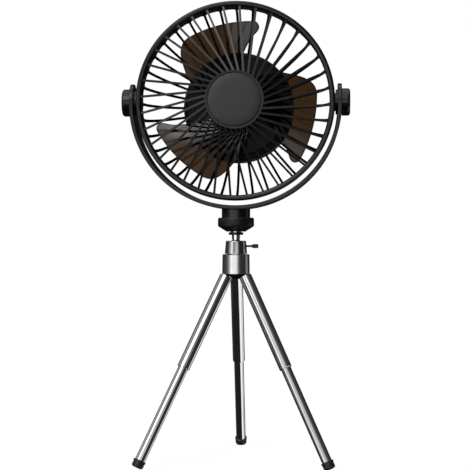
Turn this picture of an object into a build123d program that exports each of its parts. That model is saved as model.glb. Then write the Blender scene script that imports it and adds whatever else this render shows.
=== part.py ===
from build123d import *
from math import asin, cos, pi, radians, sin, sqrt
import os

# Tripod fan: a guarded round fan head in a U-shaped yoke, on a folding mini tripod with a ball head.
# The origin is on the floor under the tripod's axis, +Z is up and the fan faces -Y.
# Sizes are in millimetres and angles in degrees.

# Fits and clearances
running_clearance = 0.05
press_play = 0.02
slide_play = 0.1
seat_gap = 0.2

# Tripod legs: direction of each leg seen from above, open angle from the vertical, tubes and feet
leg_directions = {"left": 210, "right": 330, "rear": 90}
leg_spread = 27.8
leg_fold_gap = 0.3
upper_tube_diameter = 11.5
upper_tube_wall = 0.7
upper_tube_length = 92.0
upper_tube_lip = 3.0
lower_tube_diameter = 9.2
lower_tube_wall = 0.7
lower_tube_shown = 90.0
lower_tube_overlap = 14.0
tube_end_chamfer = 0.3
tongue_thickness = 4.0
tongue_half_width = 2.2
lug_plug_length = 6.0
leg_pin_radius = 1.2
leg_pin_half_length = 7.5
foot_length = 7.0
foot_corner = 2.0
foot_socket_depth = 5.0
foot_bead = 0.35
foot_bead_height = 1.6
foot_floor_cut = 0.6

# Leg hub
hub_radius = 12.3
hub_flare = 0.3
hub_wall = 0.8
hub_height = 17.7
hub_top_plate = 1.2
hub_edge_chamfer = 0.6
pin_above_rim = 3.8
tube_top_clearance = 1.2
core_fold_clearance = 0.6
core_nose_radius = 8.2
slot_clearance = 0.15
slot_depth_clearance = 0.4
hub_screw_radius = 1.5
hub_screw_head_radius = 2.6
hub_screw_head_height = 2.0
hub_screw_grip = 2.5

# Ball head
ball_radius = 6.5
ball_clearance = 0.1
ball_above_hub = 7.4
socket_lip = 4.9
socket_mouth_height = 2.8
socket_mouth_radius = 7.6
socket_top_radius = 9.2
socket_bottom_radius = 10.2
socket_seam = 0.5
socket_edge_round = 0.8
spigot_radius = 8.4
socket_floor_below = 8.6
socket_floor = 3.0
seat_top_below = 3.0
seat_bore_radius = 2.0
stem_radius = 3.75
stem_waist_radius = 2.75
stem_waist_top = 5.0
lock_rod_radius = 0.95
lock_rod_end = 14.2
lock_knob_radius = 1.85
lock_knob_length = 6.2
lock_knob_nose = 1.2
lock_knob_chamfer = 0.5

# Platform under the fan
nut_above_ball = 10.2
nut_height = 2.5
nut_radius = 6.7
nut_chamfer = 0.5
shoulder_radius = 4.8
shoulder_height = 0.5
platform_radius = 16.5
platform_rim_height = 6.8
platform_nose_radius = 8.6
platform_cone_height = 4.9
platform_chamfer = 0.5
pad_thickness = 1.0
pad_inset = 0.5
stud_radius = 3.175
stud_grip = 4.6

# Yoke
yoke_foot_radius = 13.0
yoke_foot_height = 7.3
yoke_thickness = 3.8
yoke_width = 34.0
yoke_drop = 1.5
yoke_edge_round = 0.8
thread_insert_radius = 5.0
thread_insert_length = 5.0
yoke_screw_offset = 8.8
yoke_screw_radius = 1.5
yoke_screw_head_radius = 2.7
yoke_screw_head_height = 1.6
yoke_screw_length = 5.0
yoke_screw_cover = 0.4

# Tilt pivots
lug_radius = 8.2
lug_standoff = 0.7
lug_floor = 0.8
washer_radius = 11.3
washer_thickness = 1.8
washer_spot_margin = 0.4
pivot_insert_radius = 3.6
pivot_insert_length = 4.0
pivot_screw_radius = 2.5
pivot_screw_engagement = 3.4
pivot_head_radius = 4.6
pivot_head_height = 3.0
knob_radius = 12.4
knob_height = 7.5
knob_round = 2.4
knob_dish_radius = 8.0
knob_dish_depth = 0.6

# Fan guard: forward distances are measured from the tilt axis
rim_radius = 90.0
rim_width = 5.0
rim_depth = 4.5
rim_front = 19.0
rim_round = 2.0
band_inset = 1.4
band_wall = 2.4
band_depth = 22.0
spigot_depth = 4.0
spigot_wall = 1.0
spigot_play = 0.2
spoke_count = 36
spoke_width = 1.9
spoke_depth = 3.0
spoke_round = 0.55
spoke_offset = 9.6
spoke_phase = 3.7
spoke_rim_inset = 2.7
ring_radius = 26.2
ring_depth = 6.0
ring_floor = 1.6
ring_round = 0.5
cap_radius = 24.2
cap_gap = 0.35
cap_front = 32.0
cap_proud = 0.4
cap_chamfer = 0.4
rib_count = 36
rib_width = 2.2
rib_depth = 2.8
rib_bulge = 7.0
rib_root = 4.0
rib_flare = 2.4
rib_flare_depth = 7.0
rib_flare_inset = 0.5

# Drum behind the blades
drum_radius = 47.4
drum_front_back = 24.0
drum_depth = 22.0
drum_step_depth = 6.0
drum_step_inset = 1.4
drum_wall = 2.0
drum_round = 1.8
flange_overhang = 5.0
flange_width = 12.4
flange_thickness = 2.5
pod_radius = 17.0
pod_height = 6.0
pod_round = 1.5
cover_depth = 12.0
cover_round = 5.0
cover_screw_inset = 8.4
cover_screw_count = 4
cover_screw_radius = 1.5
cover_screw_head_radius = 2.6
cover_screw_head_height = 1.8
cover_screw_bite = 9.0
cover_post_radius = 4.2
cover_post_floor = 2.0

# Motor and impeller
motor_length = 21.0
motor_rear_boss = 1.0
bearing_radius = 4.0
bearing_length = 4.0
shaft_radius = 1.6
shaft_hole_clearance = 0.4
shaft_tail = 0.6
shaft_thread = 2.6
hub_front = 8.0
hub_rear_gap = 3.0
impeller_hub_radius = 27.5
impeller_hub_wall = 2.0
impeller_hub_step = 2.6
impeller_hub_drop = 3.0
impeller_hub_round = 1.1
impeller_boss_radius = 4.5
nut_dome_radius = 4.2
nut_dome_band = 2.0
nut_dome_rise = 2.5
blade_count = 3
blade_thickness = 1.7
blade_angle = 74.0
blade_lead_forward = -17.0
blade_trail_forward = 7.0
blade_camber = 2.0
blade_overhang = 6.0
blade_overturn = 6.0
blade_stations = 9
blade_tip_gap = 8.3

# Blade outline: inset from its reach and turn from its angle, round the leading edge, tip and trailing edge
blade_lead_root_turn = 15.0
blade_lead_middle = (25.9, 6.8)
blade_lead_neck = (12.9, 2.3)
blade_lobe = (3.8, -0.2)
blade_tip_start = (0.0, 5.0)
blade_tip_middle = (4.4, 33.5)
blade_tip_end = (3.6, 51.0)
blade_shoulder = (4.9, 58.5)
blade_flank = (13.4, 67.0)
blade_trail_middle = (27.4, 78.5)
blade_trail_root_turn = 105.0

# Battery, board and controls on the back, with shares of the flange's radius
cell_radius_share = 0.172
cell_length_share = 1.24
cell_gap = 0.8
cell_button_radius = 3.0
cell_button_height = 0.8
board_margin = 2.0
board_height = 16.0
board_thickness = 1.6
board_corner = 2.0
board_drop_share = 0.5725
board_stand = 4.0
board_post_radius = 1.6
board_post_gap = 1.2
button_radius = 6.0
button_proud = 1.0
button_flange = 1.0
button_flange_height = 1.2
button_travel = 0.8
button_offset = 0.0
button_chamfer = 0.6
switch_size = 6.0
control_spread_share = 0.2443
port_width = 9.0
port_height = 3.2
port_wall = 0.35
port_tongue = 0.7
port_recess = 0.3
light_radius = 1.5
light_flange = 0.7

# Worked-out sizes of the legs
spread_sin = sin(radians(leg_spread))
spread_cos = cos(radians(leg_spread))
upper_tube_radius = upper_tube_diameter / 2
upper_tube_bore = upper_tube_radius - upper_tube_wall
lower_tube_radius = lower_tube_diameter / 2
foot_radius = upper_tube_radius - foot_bead
pin_circle = (upper_tube_diameter + leg_fold_gap) / sqrt(3)
upper_tube_start = (hub_radius - pin_circle) * spread_sin + (pin_above_rim + tube_top_clearance) * spread_cos
upper_tube_end = upper_tube_start + upper_tube_length
lower_tube_start = upper_tube_end - lower_tube_overlap
foot_start = upper_tube_end + lower_tube_shown
foot_end = foot_start + foot_length
foot_drop = (foot_end - foot_corner) * spread_cos + (foot_radius - foot_corner) * spread_sin + foot_corner

# Worked-out heights, from the floor up
pin_height = foot_drop - foot_floor_cut
hub_bottom = pin_height - pin_above_rim
hub_top = hub_bottom + hub_height
core_bottom = pin_height - upper_tube_start + core_fold_clearance
core_radius = hub_radius - hub_wall - seat_gap
ball_height = hub_top + ball_above_hub
cavity_radius = ball_radius + ball_clearance
socket_base = ball_height - socket_floor_below - socket_floor
nut_bottom = ball_height + nut_above_ball
platform_bottom = nut_bottom + nut_height + shoulder_height
platform_edge = platform_bottom + platform_cone_height
pad_bottom = platform_edge + platform_rim_height
pad_top = pad_bottom + pad_thickness
yoke_inner_radius = rim_radius + lug_standoff + washer_thickness
yoke_outer_radius = yoke_inner_radius + yoke_thickness
yoke_centre = pad_top + yoke_foot_height + yoke_outer_radius
yoke_floor = yoke_centre - yoke_inner_radius
pivot_height = yoke_centre + yoke_drop

# Worked-out sizes of the fan head, with forward distances from the tilt axis
band_front = rim_front - rim_depth
band_rear = band_front - band_depth
band_radius = rim_radius - band_inset
band_bore = band_radius - band_wall
lug_face = rim_radius + lug_standoff
lug_start = min(sqrt(band_bore ** 2 - lug_radius ** 2), lug_face - pivot_insert_length - lug_floor)
ring_front = cap_front - cap_proud
ring_rear = ring_front - ring_depth
ring_bore = cap_radius + cap_gap
drum_front = -drum_front_back
drum_step = drum_front - drum_depth
drum_rear = drum_step - drum_step_depth
flange_radius = drum_radius + flange_overhang
flange_rear = drum_rear - flange_thickness
cover_screw_circle = flange_radius - cover_screw_inset
cover_rear = flange_rear - cover_depth
cover_inside = cover_rear + drum_wall
pod_front = drum_front + pod_height
motor_radius = pod_radius - drum_wall - press_play
motor_front = pod_front - drum_wall
motor_rear = motor_front - motor_length
drum_step_radius = flange_radius - drum_step_inset
hub_rear = drum_front + hub_rear_gap
hub_boss_rear = pod_front + hub_rear_gap
hub_step_front = hub_front - impeller_hub_drop
hub_step_radius = impeller_hub_radius - impeller_hub_step
hub_bore = shaft_radius + press_play
blade_reach = band_bore - blade_tip_gap
shaft_front = hub_front + shaft_thread
cell_radius = flange_radius * cell_radius_share
cell_length = flange_radius * cell_length_share
cell_spacing = 2 * cell_radius + cell_gap
cell_centre = cover_inside + seat_gap + cell_radius
port_offset = flange_radius * control_spread_share
light_offset = -port_offset
board_post_offset = port_offset + port_width / 2 + board_post_gap + board_post_radius
board_width = 2 * (board_post_offset + board_margin)
board_rear = cover_inside + board_stand
board_front = board_rear + board_thickness
screw_head_seat = cover_rear + cover_post_floor + cover_screw_head_height
control_height = pivot_height - flange_radius * board_drop_share

# Fan planes: fan_face looks forward, fan_section has local x outwards and local y forward
fan_face = Plane(origin=(0, 0, pivot_height), x_dir=(1, 0, 0), z_dir=(0, -1, 0))
fan_section = Plane(origin=(0, 0, pivot_height), x_dir=(0, 0, 1), z_dir=(1, 0, 0))
fan_axis = Axis((0, 0, pivot_height), (0, -1, 0))
control_face = Plane(origin=(0, 0, control_height), x_dir=(1, 0, 0), z_dir=(0, -1, 0))

# Tilt planes: local z points outwards along the tilt axis on each side
pivot_planes = {
    "left": Plane(origin=(0, 0, pivot_height), x_dir=(0, 1, 0), z_dir=(-1, 0, 0)),
    "right": Plane(origin=(0, 0, pivot_height), x_dir=(0, 1, 0), z_dir=(1, 0, 0)),
}

os.makedirs("parts", exist_ok=True)


def save(builder, name):
    """Label a finished piece and write it under its node's name."""
    builder.part.label = name
    export_step(builder.part, f"parts/{name}.step")


def polar(radius, angle):
    """Point on a sketch plane from a radius and an angle in degrees."""
    return (radius * cos(radians(angle)), radius * sin(radians(angle)))


def blade_point(inset, turn):
    """Point of the blade's outline from an inset from its reach and a turn from its angle in degrees."""
    return polar(blade_reach - inset, blade_angle + turn)


def leg_plane(direction):
    """Plane of a leg: origin on its hinge pin, local z down along the leg, local x along the pin."""
    outward = Vector(cos(radians(direction)), sin(radians(direction)), 0)
    along_pin = Vector(-outward.Y, outward.X, 0)
    down_leg = outward * spread_sin - Vector(0, 0, spread_cos)
    return Plane(origin=outward * pin_circle + Vector(0, 0, pin_height), x_dir=along_pin, z_dir=down_leg)


def pin_plane(direction):
    """Plane square to a leg's hinge pin, with local x outwards and local y up."""
    outward = Vector(cos(radians(direction)), sin(radians(direction)), 0)
    along_pin = Vector(outward.Y, -outward.X, 0)
    return Plane(origin=outward * pin_circle + Vector(0, 0, pin_height), x_dir=outward, z_dir=along_pin)


# Front grille: rim, snap-in spigot, centre ring with its floor, and straight slanted spokes
spoke_start = sqrt((ring_radius - ring_round) ** 2 - spoke_offset ** 2)
spoke_end = sqrt((rim_radius - rim_width / 2) ** 2 - spoke_offset ** 2)
spoke_start_forward = ring_front - ring_depth / 2
spoke_end_forward = rim_front - spoke_rim_inset
with BuildPart() as front_spoke:
    with BuildSketch(Plane.XZ.offset(spoke_offset)):
        with BuildLine():
            Polyline(
                (spoke_start, spoke_start_forward - spoke_depth / 2),
                (spoke_start, spoke_start_forward + spoke_depth / 2),
                (spoke_end, spoke_end_forward + spoke_depth / 2),
                (spoke_end, spoke_end_forward - spoke_depth / 2),
                close=True,
            )
        make_face()
    extrude(amount=spoke_width / 2, both=True)
    fillet(front_spoke.faces().sort_by(Axis.Z)[-1].edges().sort_by(SortBy.LENGTH)[-2:], spoke_round)

with BuildPart() as front_grille:
    with BuildSketch(fan_section):
        with BuildLine():
            Polyline(
                (rim_radius - rim_width, band_front),
                (rim_radius - rim_width, rim_front - rim_round),
            )
            RadiusArc(
                (rim_radius - rim_width, rim_front - rim_round),
                (rim_radius - rim_width + rim_round, rim_front),
                rim_round,
            )
            Line((rim_radius - rim_width + rim_round, rim_front), (rim_radius - rim_round, rim_front))
            RadiusArc((rim_radius - rim_round, rim_front), (rim_radius, rim_front - rim_round), rim_round)
            Polyline(
                (rim_radius, rim_front - rim_round),
                (rim_radius, band_front),
                (band_bore - spigot_play, band_front),
                (band_bore - spigot_play, band_front - spigot_depth),
                (band_bore - spigot_play - spigot_wall, band_front - spigot_depth),
                (rim_radius - rim_width, band_front),
            )
        make_face()
        with Locations(((ring_radius + ring_bore) / 2, (ring_front + ring_rear) / 2)):
            Rectangle(ring_radius - ring_bore, ring_depth)
        with Locations((0, ring_rear)):
            Rectangle(ring_bore, ring_floor, align=(Align.MIN, Align.MIN))
    revolve(axis=fan_axis)
    with Locations(fan_face):
        with PolarLocations(0, spoke_count, start_angle=spoke_phase):
            add(front_spoke.part)
save(front_grille, "front_grille")

# Front cap: plain disc that sits in the centre ring
with BuildPart() as front_cap:
    with BuildSketch(fan_face.offset(ring_rear + ring_floor)):
        Circle(cap_radius)
    extrude(amount=cap_front - ring_rear - ring_floor)
    chamfer(front_cap.faces().sort_by(Axis.Y)[0].edges(), cap_chamfer)
save(front_cap, "front_cap")

# Rear grille: band, curved radial ribs with flared roots, flange ring with screw holes, and pivot lugs
rib_end = flange_radius - drum_step_inset / 2
rib_middle = (rib_end + band_bore) / 2 + rib_bulge
rib_middle_forward = (band_rear + drum_rear) / 2 - rib_bulge
rib_diagonal = rib_depth / sqrt(2)
flare_bend = 1 - 1 / sqrt(2)
with BuildPart() as rear_rib:
    with BuildSketch(Plane.XZ):
        with BuildLine():
            outer_edge = ThreePointArc(
                (band_radius, band_rear + rib_root),
                (rib_middle + rib_diagonal / 2, rib_middle_forward - rib_diagonal / 2),
                (rib_end, flange_rear),
            )
            inner_edge = ThreePointArc(
                (band_bore, band_rear + rib_root),
                (rib_middle - rib_diagonal / 2, rib_middle_forward + rib_diagonal / 2),
                (rib_end, drum_rear),
            )
            Line(outer_edge @ 0, inner_edge @ 0)
            Line(outer_edge @ 1, inner_edge @ 1)
        make_face()
    extrude(amount=rib_width / 2, both=True)
    with BuildSketch(Plane.YZ.offset(band_bore)):
        with BuildLine():
            Polyline(
                (-rib_width / 2 - rib_flare, band_rear),
                (-rib_width / 2 - rib_flare, band_rear + rib_root),
                (rib_width / 2 + rib_flare, band_rear + rib_root),
                (rib_width / 2 + rib_flare, band_rear),
            )
            ThreePointArc(
                (rib_width / 2 + rib_flare, band_rear),
                (rib_width / 2 + rib_flare * flare_bend, band_rear - rib_flare_depth * flare_bend),
                (rib_width / 2, band_rear - rib_flare_depth),
            )
            Line((rib_width / 2, band_rear - rib_flare_depth), (-rib_width / 2, band_rear - rib_flare_depth))
            ThreePointArc(
                (-rib_width / 2, band_rear - rib_flare_depth),
                (-rib_width / 2 - rib_flare * flare_bend, band_rear - rib_flare_depth * flare_bend),
                (-rib_width / 2 - rib_flare, band_rear),
            )
        make_face()
    extrude(amount=band_wall - rib_flare_inset)

with BuildPart() as rear_grille:
    with BuildSketch(fan_face.offset(band_rear)):
        Circle(band_radius)
        Circle(band_bore, mode=Mode.SUBTRACT)
    extrude(amount=band_depth)
    with BuildSketch(fan_face.offset(flange_rear)):
        Circle(flange_radius)
        Circle(flange_radius - flange_width, mode=Mode.SUBTRACT)
        with PolarLocations(cover_screw_circle, cover_screw_count, start_angle=45):
            Circle(cover_screw_radius + slide_play, mode=Mode.SUBTRACT)
    extrude(amount=flange_thickness)
    with Locations(fan_face):
        with PolarLocations(0, rib_count):
            add(rear_rib.part)
    for pivot_plane in pivot_planes.values():
        with BuildSketch(pivot_plane.offset(lug_start)):
            Circle(lug_radius)
        extrude(amount=lug_face - lug_start)
        with BuildSketch(pivot_plane.offset(lug_face - pivot_insert_length)):
            Circle(pivot_insert_radius + press_play)
        extrude(amount=pivot_insert_length, mode=Mode.SUBTRACT)
save(rear_grille, "rear_grille")

# Motor housing: stepped drum with a motor pod, open at the back, with four screw bosses
with BuildPart() as motor_housing:
    with BuildSketch(fan_section):
        with BuildLine():
            Polyline(
                (shaft_radius + shaft_hole_clearance, pod_front),
                (pod_radius, pod_front),
                (pod_radius, drum_front),
                (drum_radius, drum_front),
                (drum_radius, drum_step),
                (drum_step_radius, drum_step),
                (drum_step_radius, drum_rear),
                (drum_step_radius - drum_wall, drum_rear),
                (drum_step_radius - drum_wall, drum_step - drum_wall),
                (drum_radius - drum_wall, drum_step - drum_wall),
                (drum_radius - drum_wall, drum_front - drum_wall),
                (pod_radius, drum_front - drum_wall),
                (pod_radius, motor_rear),
                (pod_radius - drum_wall, motor_rear),
                (pod_radius - drum_wall, motor_front),
                (shaft_radius + shaft_hole_clearance, motor_front),
                close=True,
            )
        drum_profile = make_face()
        drum_edge = drum_profile.vertices().sort_by_distance((drum_radius, drum_front))[0]
        step_edge = drum_profile.vertices().sort_by_distance((drum_step_radius, drum_step))[0]
        pod_edge = drum_profile.vertices().sort_by_distance((pod_radius, pod_front))[0]
        fillet([drum_edge, step_edge], drum_round)
        fillet(pod_edge, pod_round)
    revolve(axis=fan_axis)
    with BuildSketch(fan_face.offset(drum_rear)):
        with PolarLocations(cover_screw_circle, cover_screw_count, start_angle=45):
            Circle(cover_post_radius)
    extrude(amount=cover_screw_bite + drum_wall)
    with BuildSketch(fan_face.offset(drum_rear)):
        with PolarLocations(cover_screw_circle, cover_screw_count, start_angle=45):
            Circle(cover_screw_radius + press_play)
    extrude(amount=cover_screw_bite, mode=Mode.SUBTRACT)
save(motor_housing, "motor_housing")

# Rear cover: shallow shell with screw posts, board posts and openings for the controls
with BuildPart() as rear_cover:
    with BuildSketch(fan_face.offset(cover_rear)):
        Circle(flange_radius)
    extrude(amount=cover_depth)
    fillet(rear_cover.faces().sort_by(Axis.Y)[-1].edges(), cover_round)
    offset(amount=-drum_wall, openings=rear_cover.faces().sort_by(Axis.Y)[0])
    with BuildSketch(fan_face.offset(cover_inside - drum_wall / 2)):
        with PolarLocations(cover_screw_circle, cover_screw_count, start_angle=45):
            Circle(cover_post_radius)
    extrude(amount=flange_rear - cover_inside + drum_wall / 2)
    with BuildSketch(control_face.offset(cover_inside - drum_wall / 2)):
        with Locations((-board_post_offset, 0), (board_post_offset, 0)):
            Circle(board_post_radius)
    extrude(amount=board_stand + drum_wall / 2)
    with BuildSketch(fan_face.offset(cover_rear)):
        with PolarLocations(cover_screw_circle, cover_screw_count, start_angle=45):
            Circle(cover_screw_radius + slide_play)
    extrude(amount=cover_depth, mode=Mode.SUBTRACT)
    with BuildSketch(fan_face.offset(cover_rear)):
        with PolarLocations(cover_screw_circle, cover_screw_count, start_angle=45):
            Circle(cover_screw_head_radius + slide_play)
    extrude(amount=screw_head_seat - cover_rear, mode=Mode.SUBTRACT)
    with BuildSketch(control_face.offset(cover_rear)):
        with Locations((button_offset, 0)):
            Circle(button_radius + slide_play)
        with Locations((port_offset, 0)):
            SlotOverall(port_width + 2 * slide_play, port_height + 2 * slide_play)
        with Locations((light_offset, 0)):
            Circle(light_radius + press_play)
    extrude(amount=drum_wall, mode=Mode.SUBTRACT)
save(rear_cover, "rear_cover")

# Cover screws: four pan heads sunk in the posts
with BuildPart() as cover_screws:
    with BuildSketch(fan_face.offset(screw_head_seat)):
        with PolarLocations(cover_screw_circle, cover_screw_count, start_angle=45):
            Circle(cover_screw_radius)
    extrude(amount=drum_rear + cover_screw_bite - seat_gap - screw_head_seat)
    with BuildSketch(fan_face.offset(screw_head_seat - cover_screw_head_height)):
        with PolarLocations(cover_screw_circle, cover_screw_count, start_angle=45):
            Circle(cover_screw_head_radius)
    extrude(amount=cover_screw_head_height)
save(cover_screws, "cover_screws")

# Motor can with bearing pockets front and rear
with BuildPart() as motor_can:
    with BuildSketch(fan_face.offset(motor_rear)):
        Circle(motor_radius)
    extrude(amount=motor_length)
    with BuildSketch(fan_face.offset(motor_rear - motor_rear_boss)):
        Circle(bearing_radius + drum_wall)
    extrude(amount=motor_rear_boss)
    with BuildSketch(fan_face.offset(motor_rear - motor_rear_boss)):
        Circle(shaft_radius + slide_play)
    extrude(amount=motor_length + motor_rear_boss, mode=Mode.SUBTRACT)
    with BuildSketch(fan_face.offset(motor_front - bearing_length)):
        Circle(bearing_radius)
    extrude(amount=bearing_length, mode=Mode.SUBTRACT)
    with BuildSketch(fan_face.offset(motor_rear - motor_rear_boss)):
        Circle(bearing_radius)
    extrude(amount=bearing_length, mode=Mode.SUBTRACT)
save(motor_can, "motor_can")

# Motor bearings: two plain bushes that carry the shaft
with BuildPart() as motor_bearings:
    for bearing_start in (motor_front - bearing_length, motor_rear - motor_rear_boss):
        with BuildSketch(fan_face.offset(bearing_start)):
            Circle(bearing_radius)
            Circle(shaft_radius + running_clearance, mode=Mode.SUBTRACT)
        extrude(amount=bearing_length)
save(motor_bearings, "motor_bearings")

# Motor shaft: carries the impeller
with BuildPart() as motor_shaft:
    with BuildSketch(fan_face.offset(motor_rear - motor_rear_boss - shaft_tail)):
        Circle(shaft_radius)
    extrude(amount=shaft_front - motor_rear + motor_rear_boss + shaft_tail)
save(motor_shaft, "motor_shaft")

# Impeller: cup-shaped hub with broad swept blades, each twisted from its leading edge to its trailing edge
blade_root_radius = impeller_hub_radius - impeller_hub_wall / 2
blade_sheet_length = blade_reach + blade_overhang - blade_root_radius
blade_sheet_turn = blade_trail_root_turn + 2 * blade_overturn
with BuildPart() as blade:
    for station in range(blade_stations):
        share = station / (blade_stations - 1)
        forward = blade_lead_forward + share * (blade_trail_forward - blade_lead_forward)
        forward += blade_camber * sin(pi * share)
        angle = radians(blade_angle - blade_overturn + share * blade_sheet_turn)
        outward = (cos(angle), 0, sin(angle))
        against_turn = (sin(angle), 0, -cos(angle))
        with BuildSketch(Plane(origin=(0, -forward, pivot_height), x_dir=outward, z_dir=against_turn)):
            with Locations((blade_root_radius, 0)):
                Rectangle(blade_sheet_length, blade_thickness, align=(Align.MIN, Align.CENTER))
    loft()
    with BuildSketch(fan_face.offset(drum_front)):
        with BuildLine():
            lead_root = polar(blade_root_radius, blade_angle + blade_lead_root_turn)
            lead_middle = blade_point(*blade_lead_middle)
            lead_neck = blade_point(*blade_lead_neck)
            lobe = blade_point(*blade_lobe)
            tip_start = blade_point(*blade_tip_start)
            tip_middle = blade_point(*blade_tip_middle)
            tip_end = blade_point(*blade_tip_end)
            shoulder = blade_point(*blade_shoulder)
            flank = blade_point(*blade_flank)
            trail_middle = blade_point(*blade_trail_middle)
            trail_root = polar(blade_root_radius, blade_angle + blade_trail_root_turn)
            tip = ThreePointArc(tip_start, tip_middle, tip_end)
            trail_run = Vector(trail_root) - trail_middle
            Spline(lead_root, lead_middle, lead_neck, lobe, tip_start, tangents=[lead_root, tip % 0])
            Spline(tip_end, shoulder, flank, trail_middle, trail_root, tangents=[tip % 1, trail_run])
            Polyline(trail_root, (0, 0), lead_root)
        make_face()
    extrude(amount=cap_front - drum_front, mode=Mode.INTERSECT)

with BuildPart() as impeller:
    with BuildSketch(fan_section):
        with BuildLine():
            Polyline(
                (hub_bore, hub_front),
                (hub_step_radius, hub_front),
                (hub_step_radius, hub_step_front),
                (impeller_hub_radius, hub_step_front),
                (impeller_hub_radius, hub_rear),
                (impeller_hub_radius - impeller_hub_wall, hub_rear),
                (impeller_hub_radius - impeller_hub_wall, hub_step_front - impeller_hub_wall),
                (hub_step_radius - impeller_hub_wall, hub_step_front - impeller_hub_wall),
                (hub_step_radius - impeller_hub_wall, hub_front - impeller_hub_wall),
                (impeller_boss_radius, hub_front - impeller_hub_wall),
                (impeller_boss_radius, hub_boss_rear),
                (hub_bore, hub_boss_rear),
                close=True,
            )
        hub_profile = make_face()
        hub_edge = hub_profile.vertices().sort_by_distance((hub_step_radius, hub_front))[0]
        hub_step_edge = hub_profile.vertices().sort_by_distance((impeller_hub_radius, hub_step_front))[0]
        fillet([hub_edge, hub_step_edge], impeller_hub_round)
    revolve(axis=fan_axis)
    add([blade.part.rotate(fan_axis, turn * 360 / blade_count) for turn in range(blade_count)])
save(impeller, "impeller")

# Impeller nut: domed nut on the shaft's end
dome_sphere = (nut_dome_radius ** 2 + nut_dome_rise ** 2) / (2 * nut_dome_rise)
dome_top = hub_front + nut_dome_band + nut_dome_rise
dome_half_turn = asin(nut_dome_radius / dome_sphere) / 2
with BuildPart() as impeller_nut:
    with BuildSketch(fan_section):
        with BuildLine():
            Polyline(
                (0, dome_top),
                (0, shaft_front + seat_gap),
                (hub_bore, shaft_front + seat_gap),
                (hub_bore, hub_front),
                (nut_dome_radius, hub_front),
                (nut_dome_radius, hub_front + nut_dome_band),
            )
            ThreePointArc(
                (nut_dome_radius, hub_front + nut_dome_band),
                (dome_sphere * sin(dome_half_turn), dome_top - dome_sphere * (1 - cos(dome_half_turn))),
                (0, dome_top),
            )
        make_face()
    revolve(axis=fan_axis)
save(impeller_nut, "impeller_nut")

# Battery cells: two cylinders side by side across the drum, each with its raised contact
with BuildPart() as battery_cells:
    cell_plane = Plane(origin=(0, -cell_centre, pivot_height), x_dir=(0, 0, 1), z_dir=(1, 0, 0))
    with BuildSketch(cell_plane.offset(-cell_length / 2)):
        with GridLocations(cell_spacing, 0, 2, 1):
            Circle(cell_radius)
    extrude(amount=cell_length - cell_button_height)
    with BuildSketch(cell_plane.offset(cell_length / 2 - cell_button_height)):
        with GridLocations(cell_spacing, 0, 2, 1):
            Circle(cell_button_radius)
    extrude(amount=cell_button_height)
save(battery_cells, "battery_cells")

# Circuit board on the cover's two posts
with BuildPart() as circuit_board:
    with BuildSketch(control_face.offset(board_rear)):
        RectangleRounded(board_width, board_height, board_corner)
    extrude(amount=board_thickness)
save(circuit_board, "circuit_board")

# Switch under the power button
button_inside = cover_inside + seat_gap + button_flange_height
switch_rear = button_inside + button_travel + slide_play
with BuildPart() as button_switch:
    with BuildSketch(control_face.offset(switch_rear)):
        with Locations((button_offset, 0)):
            Rectangle(switch_size, switch_size)
    extrude(amount=board_rear - switch_rear)
save(button_switch, "button_switch")

# Power button: round cap through the cover, kept in by its flange
with BuildPart() as power_button:
    with BuildSketch(control_face.offset(cover_rear - button_proud)):
        with Locations((button_offset, 0)):
            Circle(button_radius)
    extrude(amount=button_inside - cover_rear + button_proud)
    chamfer(power_button.faces().sort_by(Axis.Y)[-1].edges(), button_chamfer)
    with BuildSketch(control_face.offset(button_inside - button_flange_height)):
        with Locations((button_offset, 0)):
            Circle(button_radius + button_flange)
    extrude(amount=button_flange_height)
save(power_button, "power_button")

# Charging port: metal shell with an open mouth and a contact tongue
with BuildPart() as charging_port:
    with BuildSketch(control_face.offset(cover_rear + port_recess)):
        with Locations((port_offset, 0)):
            SlotOverall(port_width, port_height)
            SlotOverall(port_width - 2 * port_wall, port_height - 2 * port_wall, mode=Mode.SUBTRACT)
    extrude(amount=board_rear - cover_rear - port_recess)
    with BuildSketch(control_face.offset(board_rear - board_thickness)):
        with Locations((port_offset, 0)):
            SlotOverall(port_width, port_height)
    extrude(amount=board_thickness)
    with BuildSketch(control_face.offset(cover_rear + 2 * port_recess)):
        with Locations((port_offset, 0)):
            Rectangle(port_width - port_height, port_tongue)
    extrude(amount=board_rear - cover_rear - 2 * port_recess)
save(charging_port, "charging_port")

# Charge light: clear pipe from the board to the back face
with BuildPart() as charge_light:
    with BuildSketch(control_face.offset(cover_rear)):
        with Locations((light_offset, 0)):
            Circle(light_radius)
    extrude(amount=board_rear - cover_rear)
    with BuildSketch(control_face.offset(cover_inside)):
        with Locations((light_offset, 0)):
            Circle(light_radius + light_flange)
    extrude(amount=light_flange)
save(charge_light, "charge_light")

# Pivot inserts: threaded brass sleeves in the lugs
with BuildPart() as pivot_inserts:
    for pivot_plane in pivot_planes.values():
        with BuildSketch(pivot_plane.offset(lug_face - pivot_insert_length)):
            Circle(pivot_insert_radius)
            Circle(pivot_screw_radius + running_clearance, mode=Mode.SUBTRACT)
        extrude(amount=pivot_insert_length)
save(pivot_inserts, "pivot_inserts")

# Pivot washers: friction discs between the lugs and the yoke
with BuildPart() as pivot_washers:
    for pivot_plane in pivot_planes.values():
        with BuildSketch(pivot_plane.offset(lug_face)):
            Circle(washer_radius)
            Circle(pivot_screw_radius + slide_play, mode=Mode.SUBTRACT)
        extrude(amount=washer_thickness)
save(pivot_washers, "pivot_washers")

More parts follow.
